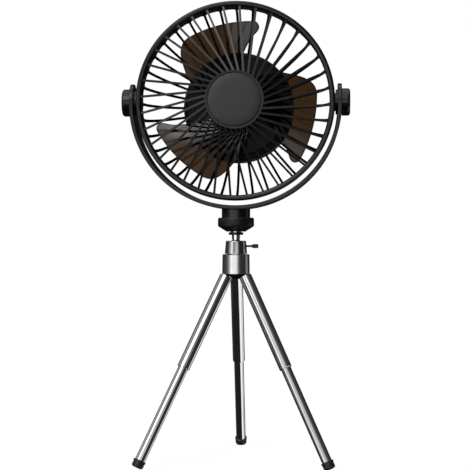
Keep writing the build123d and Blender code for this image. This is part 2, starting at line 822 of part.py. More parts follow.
# Yoke: U-shaped band with round ends, flat seats at the pivots and sunk screw holes at the bottom
yoke_end_radius = yoke_width / 2
yoke_face = Plane(origin=(0, 0, yoke_centre), x_dir=(1, 0, 0), z_dir=(0, -1, 0))
with BuildPart() as yoke:
    with BuildSketch(yoke_face.offset(-yoke_end_radius)):
        Circle(yoke_outer_radius)
        Rectangle(2 * yoke_outer_radius, yoke_drop + yoke_end_radius, align=(Align.CENTER, Align.MIN))
        Circle(yoke_inner_radius, mode=Mode.SUBTRACT)
        Rectangle(
            2 * yoke_inner_radius,
            2 * yoke_outer_radius,
            align=(Align.CENTER, Align.MIN),
            mode=Mode.SUBTRACT,
        )
        with Locations((0, yoke_drop + yoke_end_radius)):
            Rectangle(
                3 * yoke_outer_radius,
                yoke_outer_radius,
                align=(Align.CENTER, Align.MIN),
                mode=Mode.SUBTRACT,
            )
    extrude(amount=yoke_width)
    with BuildSketch(pivot_planes["right"].offset(-yoke_outer_radius)):
        with Locations((0, -yoke_outer_radius)):
            Rectangle(yoke_width, 2 * yoke_outer_radius)
        Circle(yoke_end_radius)
    extrude(amount=2 * yoke_outer_radius, mode=Mode.INTERSECT)
    fillet(yoke.edges() - yoke.edges().filter_by(Axis.X) - yoke.edges().filter_by(Axis.Y), yoke_edge_round)
    for pivot_plane in pivot_planes.values():
        with BuildSketch(pivot_plane.offset(yoke_inner_radius - yoke_thickness)):
            Circle(washer_radius + washer_spot_margin)
        extrude(amount=yoke_thickness, mode=Mode.SUBTRACT)
        with BuildSketch(pivot_plane.offset(yoke_inner_radius)):
            Circle(pivot_screw_radius + slide_play)
        extrude(amount=yoke_thickness, mode=Mode.SUBTRACT)
    with BuildSketch(Plane.XY.offset(yoke_floor - yoke_screw_head_height - yoke_screw_cover)):
        with GridLocations(2 * yoke_screw_offset, 0, 2, 1):
            Circle(yoke_screw_head_radius + slide_play)
    extrude(amount=yoke_thickness, mode=Mode.SUBTRACT)
    with BuildSketch(Plane.XY.offset(yoke_floor - 2 * yoke_thickness)):
        with GridLocations(2 * yoke_screw_offset, 0, 2, 1):
            Circle(yoke_screw_radius + slide_play)
    extrude(amount=2 * yoke_thickness, mode=Mode.SUBTRACT)
save(yoke, "yoke")

# Yoke foot: short round neck, saddle-cut to the band above it
yoke_screw_top = yoke_floor - yoke_screw_cover
yoke_screw_seat = yoke_screw_top - yoke_screw_head_height
with BuildPart() as yoke_foot:
    with BuildSketch(Plane.XY.offset(pad_top)):
        Circle(yoke_foot_radius)
    extrude(amount=yoke_foot_height + yoke_thickness)
    with BuildSketch(yoke_face.offset(-yoke_foot_radius)):
        Circle(yoke_outer_radius)
    extrude(amount=2 * yoke_foot_radius, mode=Mode.SUBTRACT)
    with BuildSketch(Plane.XY.offset(pad_top)):
        Circle(thread_insert_radius + press_play)
    extrude(amount=thread_insert_length + press_play, mode=Mode.SUBTRACT)
    with BuildSketch(Plane.XY.offset(yoke_screw_seat - yoke_screw_length - seat_gap)):
        with GridLocations(2 * yoke_screw_offset, 0, 2, 1):
            Circle(yoke_screw_radius + press_play)
    extrude(amount=yoke_screw_length + seat_gap, mode=Mode.SUBTRACT)
save(yoke_foot, "yoke_foot")

# Thread insert for the tripod's stud
with BuildPart() as thread_insert:
    with BuildSketch(Plane.XY.offset(pad_top)):
        Circle(thread_insert_radius)
        Circle(stud_radius + running_clearance, mode=Mode.SUBTRACT)
    extrude(amount=thread_insert_length)
save(thread_insert, "thread_insert")

# Yoke screws: two pan heads sunk in the band
with BuildPart() as yoke_screws:
    with BuildSketch(Plane.XY.offset(yoke_screw_seat)):
        with GridLocations(2 * yoke_screw_offset, 0, 2, 1):
            Circle(yoke_screw_head_radius)
    extrude(amount=yoke_screw_head_height)
    with BuildSketch(Plane.XY.offset(yoke_screw_seat - yoke_screw_length)):
        with GridLocations(2 * yoke_screw_offset, 0, 2, 1):
            Circle(yoke_screw_radius)
    extrude(amount=yoke_screw_length)
save(yoke_screws, "yoke_screws")

# Tilt knobs and the screws moulded into them
for side, pivot_plane in pivot_planes.items():
    with BuildPart() as knob:
        with BuildSketch(pivot_plane.offset(yoke_outer_radius)):
            Circle(knob_radius)
        extrude(amount=knob_height)
        knob_ends = knob.faces().filter_by(Axis.X).sort_by_distance(pivot_plane.origin)
        fillet(knob_ends[-1].edges(), knob_round)
        with BuildSketch(pivot_plane.offset(yoke_outer_radius + knob_height - knob_dish_depth)):
            Circle(knob_dish_radius)
        extrude(amount=knob_dish_depth, mode=Mode.SUBTRACT)
        with BuildSketch(pivot_plane.offset(yoke_outer_radius)):
            Circle(pivot_head_radius + press_play)
        extrude(amount=pivot_head_height + press_play, mode=Mode.SUBTRACT)
    save(knob, f"{side}_knob")

    with BuildPart() as pivot_screw:
        with BuildSketch(pivot_plane.offset(lug_face - pivot_screw_engagement)):
            Circle(pivot_screw_radius)
        extrude(amount=yoke_outer_radius - lug_face + pivot_screw_engagement)
        with BuildSketch(pivot_plane.offset(yoke_outer_radius)):
            RegularPolygon(pivot_head_radius, 6)
        extrude(amount=pivot_head_height)
    save(pivot_screw, f"{side}_pivot_screw")

# Platform: collar with a conical underside
with BuildPart() as platform:
    with BuildSketch(Plane.XZ):
        with BuildLine():
            Polyline(
                (stud_radius + press_play, platform_bottom),
                (platform_nose_radius, platform_bottom),
                (platform_radius, platform_edge),
                (platform_radius, pad_bottom),
                (stud_radius + press_play, pad_bottom),
                close=True,
            )
        platform_profile = make_face()
        chamfer(platform_profile.vertices().group_by(Axis.X)[-1], platform_chamfer)
    revolve(axis=Axis.Z)
save(platform, "platform")

# Rubber pad on the platform
with BuildPart() as platform_pad:
    with BuildSketch(Plane.XY.offset(pad_bottom)):
        Circle(platform_radius - pad_inset)
        Circle(stud_radius + slide_play, mode=Mode.SUBTRACT)
    extrude(amount=pad_thickness)
save(platform_pad, "platform_pad")

# Lock nut under the platform
with BuildPart() as platform_nut:
    with BuildSketch(Plane.XY.offset(nut_bottom)):
        Circle(nut_radius)
        Circle(stem_radius + press_play, mode=Mode.SUBTRACT)
    extrude(amount=nut_height)
    chamfer(platform_nut.edges().filter_by(GeomType.CIRCLE).group_by(SortBy.RADIUS)[-1], nut_chamfer)
save(platform_nut, "platform_nut")

# Ball stem: ball, waist, neck, shoulder and stud in one turned piece
waist_start = sqrt(ball_radius ** 2 - stem_waist_radius ** 2)
with BuildPart() as ball_stem:
    with BuildSketch(Plane.XZ):
        with BuildLine():
            ThreePointArc(
                (0, ball_height - ball_radius),
                (ball_radius, ball_height),
                (stem_waist_radius, ball_height + waist_start),
            )
            Polyline(
                (stem_waist_radius, ball_height + waist_start),
                (stem_radius, ball_height + max(stem_waist_top, waist_start)),
                (stem_radius, platform_bottom - shoulder_height),
                (shoulder_radius, platform_bottom - shoulder_height),
                (shoulder_radius, platform_bottom),
                (stud_radius, platform_bottom),
                (stud_radius, pad_top + stud_grip),
                (0, pad_top + stud_grip),
                (0, ball_height - ball_radius),
            )
        make_face()
    revolve(axis=Axis.Z)
save(ball_stem, "ball_stem")

# Ball seat: ring under the ball with a hollow spherical top
seat_radius = cavity_radius - ball_clearance
seat_sphere = ball_radius + running_clearance
seat_edge = sqrt(seat_sphere ** 2 - seat_top_below ** 2)
seat_hole_below = sqrt(seat_sphere ** 2 - seat_bore_radius ** 2)
seat_middle = (asin(seat_bore_radius / seat_sphere) + asin(seat_edge / seat_sphere)) / 2
with BuildPart() as ball_seat:
    with BuildSketch(Plane.XZ):
        with BuildLine():
            ThreePointArc(
                (seat_bore_radius, ball_height - seat_hole_below),
                (seat_sphere * sin(seat_middle), ball_height - seat_sphere * cos(seat_middle)),
                (seat_edge, ball_height - seat_top_below),
            )
            Polyline(
                (seat_edge, ball_height - seat_top_below),
                (seat_radius, ball_height - seat_top_below),
                (seat_radius, ball_height - socket_floor_below),
                (seat_bore_radius, ball_height - socket_floor_below),
                (seat_bore_radius, ball_height - seat_hole_below),
            )
        make_face()
    revolve(axis=Axis.Z)
save(ball_seat, "ball_seat")

# Ball socket: flared cap with a round cavity, a coned mouth, a spigot in the hub and the lock screw's hole
mouth_edge = sqrt(cavity_radius ** 2 - socket_mouth_height ** 2)
mouth_middle = (mouth_edge + cavity_radius) / 2
lock_plane = Plane(origin=(0, 0, ball_height), x_dir=(0, 1, 0), z_dir=(1, 0, 0))
with BuildPart() as ball_socket:
    with BuildSketch(Plane.XZ):
        with BuildLine():
            ThreePointArc(
                (cavity_radius, ball_height),
                (mouth_middle, ball_height + sqrt(cavity_radius ** 2 - mouth_middle ** 2)),
                (mouth_edge, ball_height + socket_mouth_height),
            )
            Polyline(
                (mouth_edge, ball_height + socket_mouth_height),
                (socket_mouth_radius, ball_height + socket_lip),
                (socket_top_radius, ball_height + socket_lip),
                (socket_bottom_radius, hub_top + socket_seam),
                (spigot_radius, hub_top + socket_seam),
                (spigot_radius, socket_base),
                (0, socket_base),
                (0, ball_height - socket_floor_below),
                (cavity_radius, ball_height - socket_floor_below),
                (cavity_radius, ball_height),
            )
        socket_profile = make_face()
        top_edge = (socket_top_radius, ball_height + socket_lip)
        fillet(socket_profile.vertices().sort_by_distance(top_edge)[0], socket_edge_round)
    revolve(axis=Axis.Z)
    with BuildSketch(lock_plane):
        Circle(lock_rod_radius + running_clearance)
    extrude(amount=lock_rod_end, mode=Mode.SUBTRACT)
    with BuildSketch(Plane.XY.offset(socket_base)):
        Circle(hub_screw_radius + press_play)
    extrude(amount=hub_screw_grip + seat_gap, mode=Mode.SUBTRACT)
save(ball_socket, "ball_socket")

# Lock screw: thin rod that presses on the ball, with a slim knob
with BuildPart() as lock_screw:
    with BuildSketch(lock_plane.offset(cavity_radius)):
        Circle(lock_rod_radius)
    extrude(amount=lock_rod_end - cavity_radius)
    with BuildSketch(lock_plane.offset(lock_rod_end)):
        Circle(lock_rod_radius)
    with BuildSketch(lock_plane.offset(lock_rod_end + lock_knob_nose)):
        Circle(lock_knob_radius)
    loft()
    with BuildSketch(lock_plane.offset(lock_rod_end + lock_knob_nose)):
        Circle(lock_knob_radius)
    extrude(amount=lock_knob_length - lock_knob_nose)
    chamfer(lock_screw.faces().sort_by(Axis.X)[-1].edges(), lock_knob_chamfer)
save(lock_screw, "lock_screw")

# Hub shell: slightly flared sleeve with a top plate round the socket's spigot
with BuildPart() as hub_shell:
    with BuildSketch(Plane.XZ):
        with BuildLine():
            Polyline(
                (spigot_radius + press_play, hub_top),
                (hub_radius, hub_top),
                (hub_radius + hub_flare, hub_bottom),
                (hub_radius + hub_flare - hub_wall, hub_bottom),
                (hub_radius - hub_wall, hub_top - hub_top_plate),
                (spigot_radius + press_play, hub_top - hub_top_plate),
                close=True,
            )
        shell_profile = make_face()
        chamfer(shell_profile.vertices().sort_by_distance((hub_radius, hub_top))[0], hub_edge_chamfer)
    revolve(axis=Axis.Z)
save(hub_shell, "hub_shell")

# Hinge core: block in the hub with a slot for each leg's tongue, bores for the pins and the hub screw
shell_plate_bottom = hub_top - hub_top_plate
slot_top = pin_height + tongue_half_width + slot_depth_clearance
slot_start = pin_circle - tongue_half_width - slot_depth_clearance
with BuildPart() as hinge_core:
    with BuildSketch(Plane.XZ):
        with BuildLine():
            Polyline(
                (0, core_bottom),
                (core_nose_radius, core_bottom),
                (core_radius, hub_bottom),
                (core_radius, shell_plate_bottom),
                (spigot_radius + press_play, shell_plate_bottom),
                (spigot_radius + press_play, socket_base),
                (0, socket_base),
                close=True,
            )
        make_face()
    revolve(axis=Axis.Z)
    for direction in leg_directions.values():
        hinge = pin_plane(direction)
        slot_half = tongue_thickness / 2 + slot_clearance
        with BuildSketch(hinge.offset(-slot_half)):
            with Locations((slot_start - pin_circle, slot_top - pin_height)):
                Rectangle(hub_radius, hub_height, align=(Align.MIN, Align.MAX))
        extrude(amount=2 * slot_half, mode=Mode.SUBTRACT)
        with BuildSketch(hinge.offset(-leg_pin_half_length)):
            Circle(leg_pin_radius + press_play)
        extrude(amount=2 * leg_pin_half_length, mode=Mode.SUBTRACT)
    with BuildSketch(Plane.XY.offset(core_bottom)):
        Circle(hub_screw_radius + slide_play)
    extrude(amount=hub_height, mode=Mode.SUBTRACT)
    with BuildSketch(Plane.XY.offset(core_bottom)):
        Circle(hub_screw_head_radius + slide_play)
    extrude(amount=hub_screw_head_height + seat_gap, mode=Mode.SUBTRACT)
save(hinge_core, "hinge_core")

# Hub screw: holds core, shell and socket together
with BuildPart() as hub_screw:
    with BuildSketch(Plane.XY.offset(core_bottom + seat_gap)):
        Circle(hub_screw_head_radius)
    extrude(amount=hub_screw_head_height)
    with BuildSketch(Plane.XY.offset(core_bottom + seat_gap + hub_screw_head_height)):
        Circle(hub_screw_radius)
    extrude(amount=socket_base + hub_screw_grip - core_bottom - seat_gap - hub_screw_head_height)
save(hub_screw, "hub_screw")

# Leg pins: one across each slot
with BuildPart() as leg_pins:
    for direction in leg_directions.values():
        with BuildSketch(pin_plane(direction).offset(-leg_pin_half_length)):
            Circle(leg_pin_radius)
        extrude(amount=2 * leg_pin_half_length)
save(leg_pins, "leg_pins")

# Legs: upper tube with its hinge lug, lower tube with its friction bush, and rubber foot
bush_length = lower_tube_overlap - upper_tube_lip - slide_play
foot_socket_end = foot_start + foot_socket_depth
for side, direction in leg_directions.items():
    leg = leg_plane(direction)
    hinge = pin_plane(direction)
    leg_line = Axis(leg.origin, leg.z_dir)
    foot_section = Plane(origin=leg.origin, x_dir=leg.x_dir, z_dir=leg.x_dir.cross(leg.z_dir))

    with BuildPart() as upper_leg:
        with BuildSketch(leg.offset(upper_tube_start)):
            Circle(upper_tube_radius)
        extrude(amount=upper_tube_length)
        chamfer(upper_leg.edges().filter_by(GeomType.CIRCLE), tube_end_chamfer)
        with BuildSketch(leg.offset(upper_tube_start)):
            Circle(upper_tube_bore)
        extrude(amount=upper_tube_length - upper_tube_lip, mode=Mode.SUBTRACT)
        with BuildSketch(leg.offset(upper_tube_start)):
            Circle(lower_tube_radius + running_clearance)
        extrude(amount=upper_tube_length, mode=Mode.SUBTRACT)
    save(upper_leg, f"upper_leg_{side}")

    with BuildPart() as leg_lug:
        with BuildSketch(leg.offset(upper_tube_start)):
            Circle(upper_tube_bore)
        extrude(amount=lug_plug_length)
        with BuildSketch(leg):
            Rectangle(tongue_thickness, 2 * tongue_half_width)
        extrude(amount=upper_tube_start)
        with BuildSketch(hinge.offset(-tongue_thickness / 2)):
            Circle(tongue_half_width)
        extrude(amount=tongue_thickness)
        with BuildSketch(hinge.offset(-tongue_thickness / 2)):
            Circle(leg_pin_radius + running_clearance)
        extrude(amount=tongue_thickness, mode=Mode.SUBTRACT)
    save(leg_lug, f"leg_lug_{side}")

    with BuildPart() as lower_leg:
        with BuildSketch(leg.offset(lower_tube_start)):
            Circle(lower_tube_radius)
            Circle(lower_tube_radius - lower_tube_wall, mode=Mode.SUBTRACT)
        extrude(amount=foot_socket_end - lower_tube_start)
    save(lower_leg, f"lower_leg_{side}")

    with BuildPart() as slip_bush:
        with BuildSketch(leg.offset(lower_tube_start)):
            Circle(upper_tube_bore - running_clearance)
            Circle(lower_tube_radius, mode=Mode.SUBTRACT)
        extrude(amount=bush_length)
    save(slip_bush, f"slip_bush_{side}")

    with BuildPart() as foot:
        with BuildSketch(leg.offset(foot_start)):
            Circle(foot_radius)
        extrude(amount=foot_length)
        fillet(foot.edges().filter_by(GeomType.CIRCLE).sort_by(Axis.Z)[0], foot_corner)
        with BuildSketch(leg.offset(foot_start)):
            Circle(foot_radius + foot_bead)
        extrude(amount=foot_bead_height)
        with BuildSketch(leg.offset(foot_start)):
            Circle(lower_tube_radius)
        extrude(amount=foot_socket_depth, mode=Mode.SUBTRACT)
        split(bisect_by=Plane.XY, keep=Keep.TOP)
    save(foot, f"foot_{side}")
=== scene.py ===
"""Looks of the tripod fan: guarded fan head, yoke, ball head and folding tripod.

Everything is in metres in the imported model's own frame: +Z is up, the fan faces -Y and +X is on the right
seen from the front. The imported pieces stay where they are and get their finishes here. The front disc, the
screws, the power button, the collar, the thumb screw and the feet are modelled anew in the same place, with
their finer forms.
"""

import logging
import math
from collections.abc import Callable, Iterable
from dataclasses import dataclass
from enum import Enum
from typing import ClassVar

import bmesh
import bpy
from mathutils import Matrix, Vector

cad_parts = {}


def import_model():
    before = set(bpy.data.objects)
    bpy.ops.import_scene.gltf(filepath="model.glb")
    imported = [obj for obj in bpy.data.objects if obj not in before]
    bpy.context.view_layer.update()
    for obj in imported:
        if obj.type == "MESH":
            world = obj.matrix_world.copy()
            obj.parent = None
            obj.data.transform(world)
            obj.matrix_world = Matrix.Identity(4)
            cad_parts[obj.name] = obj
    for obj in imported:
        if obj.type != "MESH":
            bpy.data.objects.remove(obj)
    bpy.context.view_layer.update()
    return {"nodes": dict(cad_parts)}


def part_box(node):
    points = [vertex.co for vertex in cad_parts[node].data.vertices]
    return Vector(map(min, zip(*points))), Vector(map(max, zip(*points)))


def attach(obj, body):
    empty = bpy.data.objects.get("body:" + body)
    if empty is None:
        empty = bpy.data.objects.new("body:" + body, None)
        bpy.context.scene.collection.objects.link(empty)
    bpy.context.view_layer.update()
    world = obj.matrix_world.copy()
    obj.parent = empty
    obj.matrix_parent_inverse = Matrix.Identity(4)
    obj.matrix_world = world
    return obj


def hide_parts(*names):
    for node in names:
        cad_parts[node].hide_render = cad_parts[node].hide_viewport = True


LOG = logging.getLogger("tripod_fan")
Colour = tuple[float, float, float]
Point = tuple[float, float, float]
Pairs = tuple[tuple[float, float], ...]
Profile = list[tuple[float, float]]
Nodes = dict[str, bpy.types.Object]


# Shared values

FAN_AXIS_HEIGHT = 0.32688
FULL_TURN = 360.0
WHITE = (1.0, 1.0, 1.0, 1.0)
BLACK = (0.0, 0.0, 0.0, 1.0)
BUMP_STRENGTH = 0.6
SHARP_ANGLE = 32.0
MERGE_DISTANCE = 0.000001
NOISE_MEAN = 0.5
CLOUD_RANGE = (0.3, 0.7)
SMEAR_RANGE = (0.5, 0.75)
EDGE_RANGE = (0.995, 0.94)
EDGE_SAMPLES = 6


# Node trees


class Graph:
    """Adds and links the nodes of one node tree."""

    def __init__(self, tree: bpy.types.NodeTree) -> None:
        """Take the node tree to fill."""
        self.tree = tree

    def add(self, kind: str, inputs: dict | None = None, **settings: object) -> bpy.types.Node:
        """Add a node and fill its sockets.

        Args:
            kind: Blender's name for the type of node.
            inputs: Socket name or number to a value, or to the output socket that feeds it.
            settings: Attributes of the node itself.

        Returns:
            The new node.
        """
        node = self.tree.nodes.new(kind)
        for name, value in settings.items():
            setattr(node, name, value)
        for key, value in (inputs or {}).items():
            if isinstance(value, bpy.types.NodeSocket):
                self.tree.links.new(value, node.inputs[key])
            else:
                node.inputs[key].default_value = value
        return node

    def math(self, operation: str, *values: object) -> bpy.types.NodeSocket:
        """Add a Math node and return its result."""
        return self.add("ShaderNodeMath", dict(enumerate(values)), operation=operation).outputs[0]

    def ramp(
        self, value: object, low: float, high: float, to_low: float = 0.0, to_high: float = 1.0
    ) -> bpy.types.NodeSocket:
        """Add a clamped Map Range node and return its result."""
        inputs = {"Value": value, "From Min": low, "From Max": high, "To Min": to_low, "To Max": to_high}
        return self.add("ShaderNodeMapRange", inputs).outputs[0]

    def mix(self, share: object, first: object, second: object) -> bpy.types.NodeSocket:
        """Add a colour Mix node and return its colour."""
        return self.add("ShaderNodeMix", {0: share, 6: first, 7: second}, data_type="RGBA").outputs[2]

    def group(self, tree: bpy.types.NodeTree, inputs: dict) -> bpy.types.Node:
        """Place a node group with its own values."""
        return self.add("ShaderNodeGroup", inputs, node_tree=tree)


def new_group(name: str, inputs: dict[str, object], outputs: dict[str, str]) -> tuple[Graph, bpy.types.Node]:
    """Start a shader node group.

    Args:
        name: Name of the group.
        inputs: Input name to its default value.
        outputs: Output name to its socket type.

    Returns:
        The group's graph and its input node.
    """
    tree = bpy.data.node_groups.new(name, "ShaderNodeTree")
    kinds = {float: "NodeSocketFloat", tuple: "NodeSocketColor", Vector: "NodeSocketVector"}
    for label, default in inputs.items():
        socket = tree.interface.new_socket(label, in_out="INPUT", socket_type=kinds[type(default)])
        socket.default_value = default
    for label, kind in outputs.items():
        tree.interface.new_socket(label, in_out="OUTPUT", socket_type=kind)
    graph = Graph(tree)
    return graph, graph.add("NodeGroupInput")


def grain_group() -> bpy.types.NodeTree:
    """Build the moulded grain: cloudy colour, cloudy gloss and a fine pitted height.

    Returns:
        The shader group.
    """
    inputs = {
        "Colour": (0.03, 0.03, 0.03, 1.0),
        "Shade": (0.02, 0.02, 0.02, 1.0),
        "Roughness": 0.4,
        "Spread": 0.1,
        "Cloud Scale": 60.0,
        "Grain Scale": 2500.0,
    }
    outputs = {"Colour": "NodeSocketColor", "Roughness": "NodeSocketFloat", "Height": "NodeSocketFloat"}
    graph, given = new_group("moulded grain", inputs, outputs)
    place = graph.add("ShaderNodeTexCoord").outputs["Object"]
    cloud = graph.add(
        "ShaderNodeTexNoise", {"Vector": place, "Scale": given.outputs["Cloud Scale"], "Detail": 3.0}
    ).outputs["Fac"]
    pits = graph.add(
        "ShaderNodeTexNoise", {"Vector": place, "Scale": given.outputs["Grain Scale"], "Detail": 1.0}
    ).outputs["Fac"]
    colour = graph.mix(graph.ramp(cloud, *CLOUD_RANGE), given.outputs["Colour"], given.outputs["Shade"])
    swing = graph.math("MULTIPLY", graph.math("SUBTRACT", cloud, NOISE_MEAN), given.outputs["Spread"])
    rough = graph.math("ADD", given.outputs["Roughness"], swing)
    graph.add("NodeGroupOutput", {"Colour": colour, "Roughness": rough, "Height": pits})
    return graph.tree


def hairline_group() -> bpy.types.NodeTree:
    """Build the polishing hairlines and faint finger smears: gloss and height of a worked metal.

    Returns:
        The shader group.
    """
    inputs = {
        "Stretch": Vector((400.0, 400.0, 20.0)),
        "Roughness": 0.1,
        "Spread": 0.05,
        "Smear Scale": 45.0,
    }
    outputs = {"Roughness": "NodeSocketFloat", "Height": "NodeSocketFloat"}
    graph, given = new_group("hairlines", inputs, outputs)
    place = graph.add("ShaderNodeTexCoord").outputs["Object"]
    stretched = graph.add(
        "ShaderNodeVectorMath", {0: place, 1: given.outputs["Stretch"]}, operation="MULTIPLY"
    ).outputs[0]
    lines = graph.add("ShaderNodeTexNoise", {"Vector": stretched, "Scale": 1.0, "Detail": 4.0}).outputs["Fac"]
    smear = graph.add(
        "ShaderNodeTexNoise",
        {"Vector": place, "Scale": given.outputs["Smear Scale"], "Detail": 3.0, "Distortion": 0.6},
    ).outputs["Fac"]
    both = graph.math("ADD", graph.ramp(smear, *SMEAR_RANGE), graph.math("SUBTRACT", lines, NOISE_MEAN))
    swing = graph.math("MULTIPLY", both, given.outputs["Spread"])
    rough = graph.math("ADD", given.outputs["Roughness"], swing)
    graph.add("NodeGroupOutput", {"Roughness": rough, "Height": lines})
    return graph.tree


def edge_group() -> bpy.types.NodeTree:
    """Build the edge mask: one along the edges of a piece, falling to nothing within the reach.

    Returns:
        The shader group.
    """
    graph, given = new_group("edge mask", {"Reach": 0.001}, {"Mask": "NodeSocketFloat"})
    bevel = graph.add("ShaderNodeBevel", {"Radius": given.outputs["Reach"]}, samples=EDGE_SAMPLES)
    plain = graph.add("ShaderNodeNewGeometry").outputs["Normal"]
    alike = graph.add("ShaderNodeVectorMath", {0: bevel.outputs[0], 1: plain}, operation="DOT_PRODUCT")
    graph.add("NodeGroupOutput", {"Mask": graph.ramp(alike.outputs["Value"], *EDGE_RANGE)})
    return graph.tree


class Effects:
    """Shared shader groups, each made once."""

    made: ClassVar[dict[str, bpy.types.NodeTree]] = {}

    @classmethod
    def get(cls, build: Callable[[], bpy.types.NodeTree]) -> bpy.types.NodeTree:
        """Return the group that a builder makes, making it on first use.

        Args:
            build: Function that builds the group.

        Returns:
            The shader group.
        """
        if build.__name__ not in cls.made:
            cls.made[build.__name__] = build()
        return cls.made[build.__name__]


# Finishes


@dataclass(frozen=True)
class Finish:
    """A finish: colours, gloss, grain and painted edge shade of one material."""

    name: str
    colour: Colour
    shade: Colour
    roughness: float
    spread: float = 0.08
    cloud_scale: float = 60.0
    grain_scale: float = 2500.0
    grain_depth: float = 0.00002
    specular: float = 0.5
    edge_reach: float = 0.0
    # Painted shade: the dark colour laid along a piece's edges
    painted_edge_shade: Colour = (0.0, 0.0, 0.0)

    def material(self) -> bpy.types.Material:
        """Make this finish's material on first use.

        Returns:
            The material, shared by all pieces of this finish.
        """
        found = bpy.data.materials.get(self.name)
        if found is not None:
            return found
        made = bpy.data.materials.new(self.name)
        made.use_nodes = True
        made.node_tree.nodes.clear()
        graph = Graph(made.node_tree)
        shader = graph.add("ShaderNodeBsdfPrincipled", {"Specular IOR Level": self.specular})
        self.fill(graph, shader)
        graph.add("ShaderNodeOutputMaterial", {"Surface": shader.outputs[0]})
        made.diffuse_color = (*self.colour, 1.0)
        return made

    def fill(self, graph: Graph, shader: bpy.types.Node) -> None:
        """Feed the shader from the moulded grain.

        Args:
            graph: The material's graph.
            shader: Its Principled node.
        """
        grain = self.grain(graph)
        graph.tree.links.new(self.with_edge_shade(graph, grain.outputs["Colour"]), shader.inputs["Base Color"])
        graph.tree.links.new(grain.outputs["Roughness"], shader.inputs["Roughness"])
        self.bump(graph, shader, grain.outputs["Height"], self.grain_depth)

    def grain(self, graph: Graph) -> bpy.types.Node:
        """Place the moulded grain group with this finish's values.

        Args:
            graph: The material's graph.

        Returns:
            The placed group.
        """
        values = {
            "Colour": (*self.colour, 1.0),
            "Shade": (*self.shade, 1.0),
            "Roughness": self.roughness,
            "Spread": self.spread,
            "Cloud Scale": self.cloud_scale,
            "Grain Scale": self.grain_scale,
        }
        return graph.group(Effects.get(grain_group), values)

    def with_edge_shade(self, graph: Graph, colour: bpy.types.NodeSocket) -> bpy.types.NodeSocket:
        """Return the colour with a painted shade laid along the piece's edges.

        Args:
            graph: The material's graph.
            colour: The colour away from the edges.

        Returns:
            The mixed colour, or the given one where the finish has no painted edge shade.
        """
        if not self.edge_reach:
            return colour
        mask = graph.group(Effects.get(edge_group), {"Reach": self.edge_reach}).outputs["Mask"]
        # Painted shade: the edge colour darkens the piece along its edges
        return graph.mix(mask, colour, (*self.painted_edge_shade, 1.0))

    @staticmethod
    def bump(graph: Graph, shader: bpy.types.Node, height: bpy.types.NodeSocket, depth: float) -> None:
        """Feed the shader's normal from a height of the given depth in metres."""
        node = graph.add("ShaderNodeBump", {"Height": height, "Distance": depth, "Strength": BUMP_STRENGTH})
        graph.tree.links.new(node.outputs[0], shader.inputs["Normal"])


@dataclass(frozen=True)
class Metal(Finish):
    """Worked metal with hairlines along one direction."""

    stretch: Point = (500.0, 500.0, 30.0)
    line_depth: float = 0.000002

    def fill(self, graph: Graph, shader: bpy.types.Node) -> None:
        """Feed the shader from the grain's colour and the hairlines' gloss.

        Args:
            graph: The material's graph.
            shader: Its Principled node.
        """
        shader.inputs["Metallic"].default_value = 1.0
        grain = self.grain(graph)
        graph.tree.links.new(self.with_edge_shade(graph, grain.outputs["Colour"]), shader.inputs["Base Color"])
        values = {"Stretch": Vector(self.stretch), "Roughness": self.roughness, "Spread": self.spread}
        lines = graph.group(Effects.get(hairline_group), values)
        graph.tree.links.new(lines.outputs["Roughness"], shader.inputs["Roughness"])
        self.bump(graph, shader, lines.outputs["Height"], self.line_depth)


@dataclass(frozen=True)
class Clear(Finish):
    """See-through plastic of one tint."""

    ior: float = 1.46

    def fill(self, graph: Graph, shader: bpy.types.Node) -> None:
        """Feed the shader from the grain and let light through.

        Args:
            graph: The material's graph.
            shader: Its Principled node.
        """
        super().fill(graph, shader)
        shader.inputs["Transmission Weight"].default_value = 1.0
        shader.inputs["IOR"].default_value = self.ior


@dataclass(frozen=True)
class SmokyBlade(Clear):
    """Smoky amber blade plastic with painted light: a painted reflection makes it greyer and lighter along
    each leading edge, and painted shade darkens its cut edges.
    """

    # Painted reflection: the greyer, lighter tint laid near each leading edge
    painted_sheen: Colour = (0.052, 0.047, 0.042)
    axis_height: float = FAN_AXIS_HEIGHT
    lead_angle: float = 74.0
    blades: int = 3
    lead_margin: float = 6.0
    sheen_turn: float = 11.0
    fade_turn: float = 14.0

    def fill(self, graph: Graph, shader: bpy.types.Node) -> None:
        """Feed the shader as clear plastic, with a painted reflection (greyer and lighter) up to an angle
        from each leading edge.

        Args:
            graph: The material's graph.
            shader: Its Principled node.
        """
        super().fill(graph, shader)
        grain = self.grain(graph)
        place = graph.add("ShaderNodeTexCoord").outputs["Object"]
        spot = graph.add("ShaderNodeSeparateXYZ", {0: place}).outputs
        height = graph.math("SUBTRACT", spot["Z"], self.axis_height)
        angle = graph.math("DEGREES", graph.math("ARCTAN2", height, spot["X"]))
        start = graph.math("SUBTRACT", angle, self.lead_angle - self.lead_margin)
        turn = graph.math("FLOORED_MODULO", start, FULL_TURN / self.blades)
        fade_start = self.sheen_turn + self.lead_margin
        share = graph.ramp(turn, fade_start, fade_start + self.fade_turn, 1.0, 0.0)
        # Painted reflection: the grain's colour turns to the sheen tint near each leading edge and fades out
        # behind it
        sheened = graph.mix(share, grain.outputs["Colour"], (*self.painted_sheen, 1.0))
        graph.tree.links.new(self.with_edge_shade(graph, sheened), shader.inputs["Base Color"])


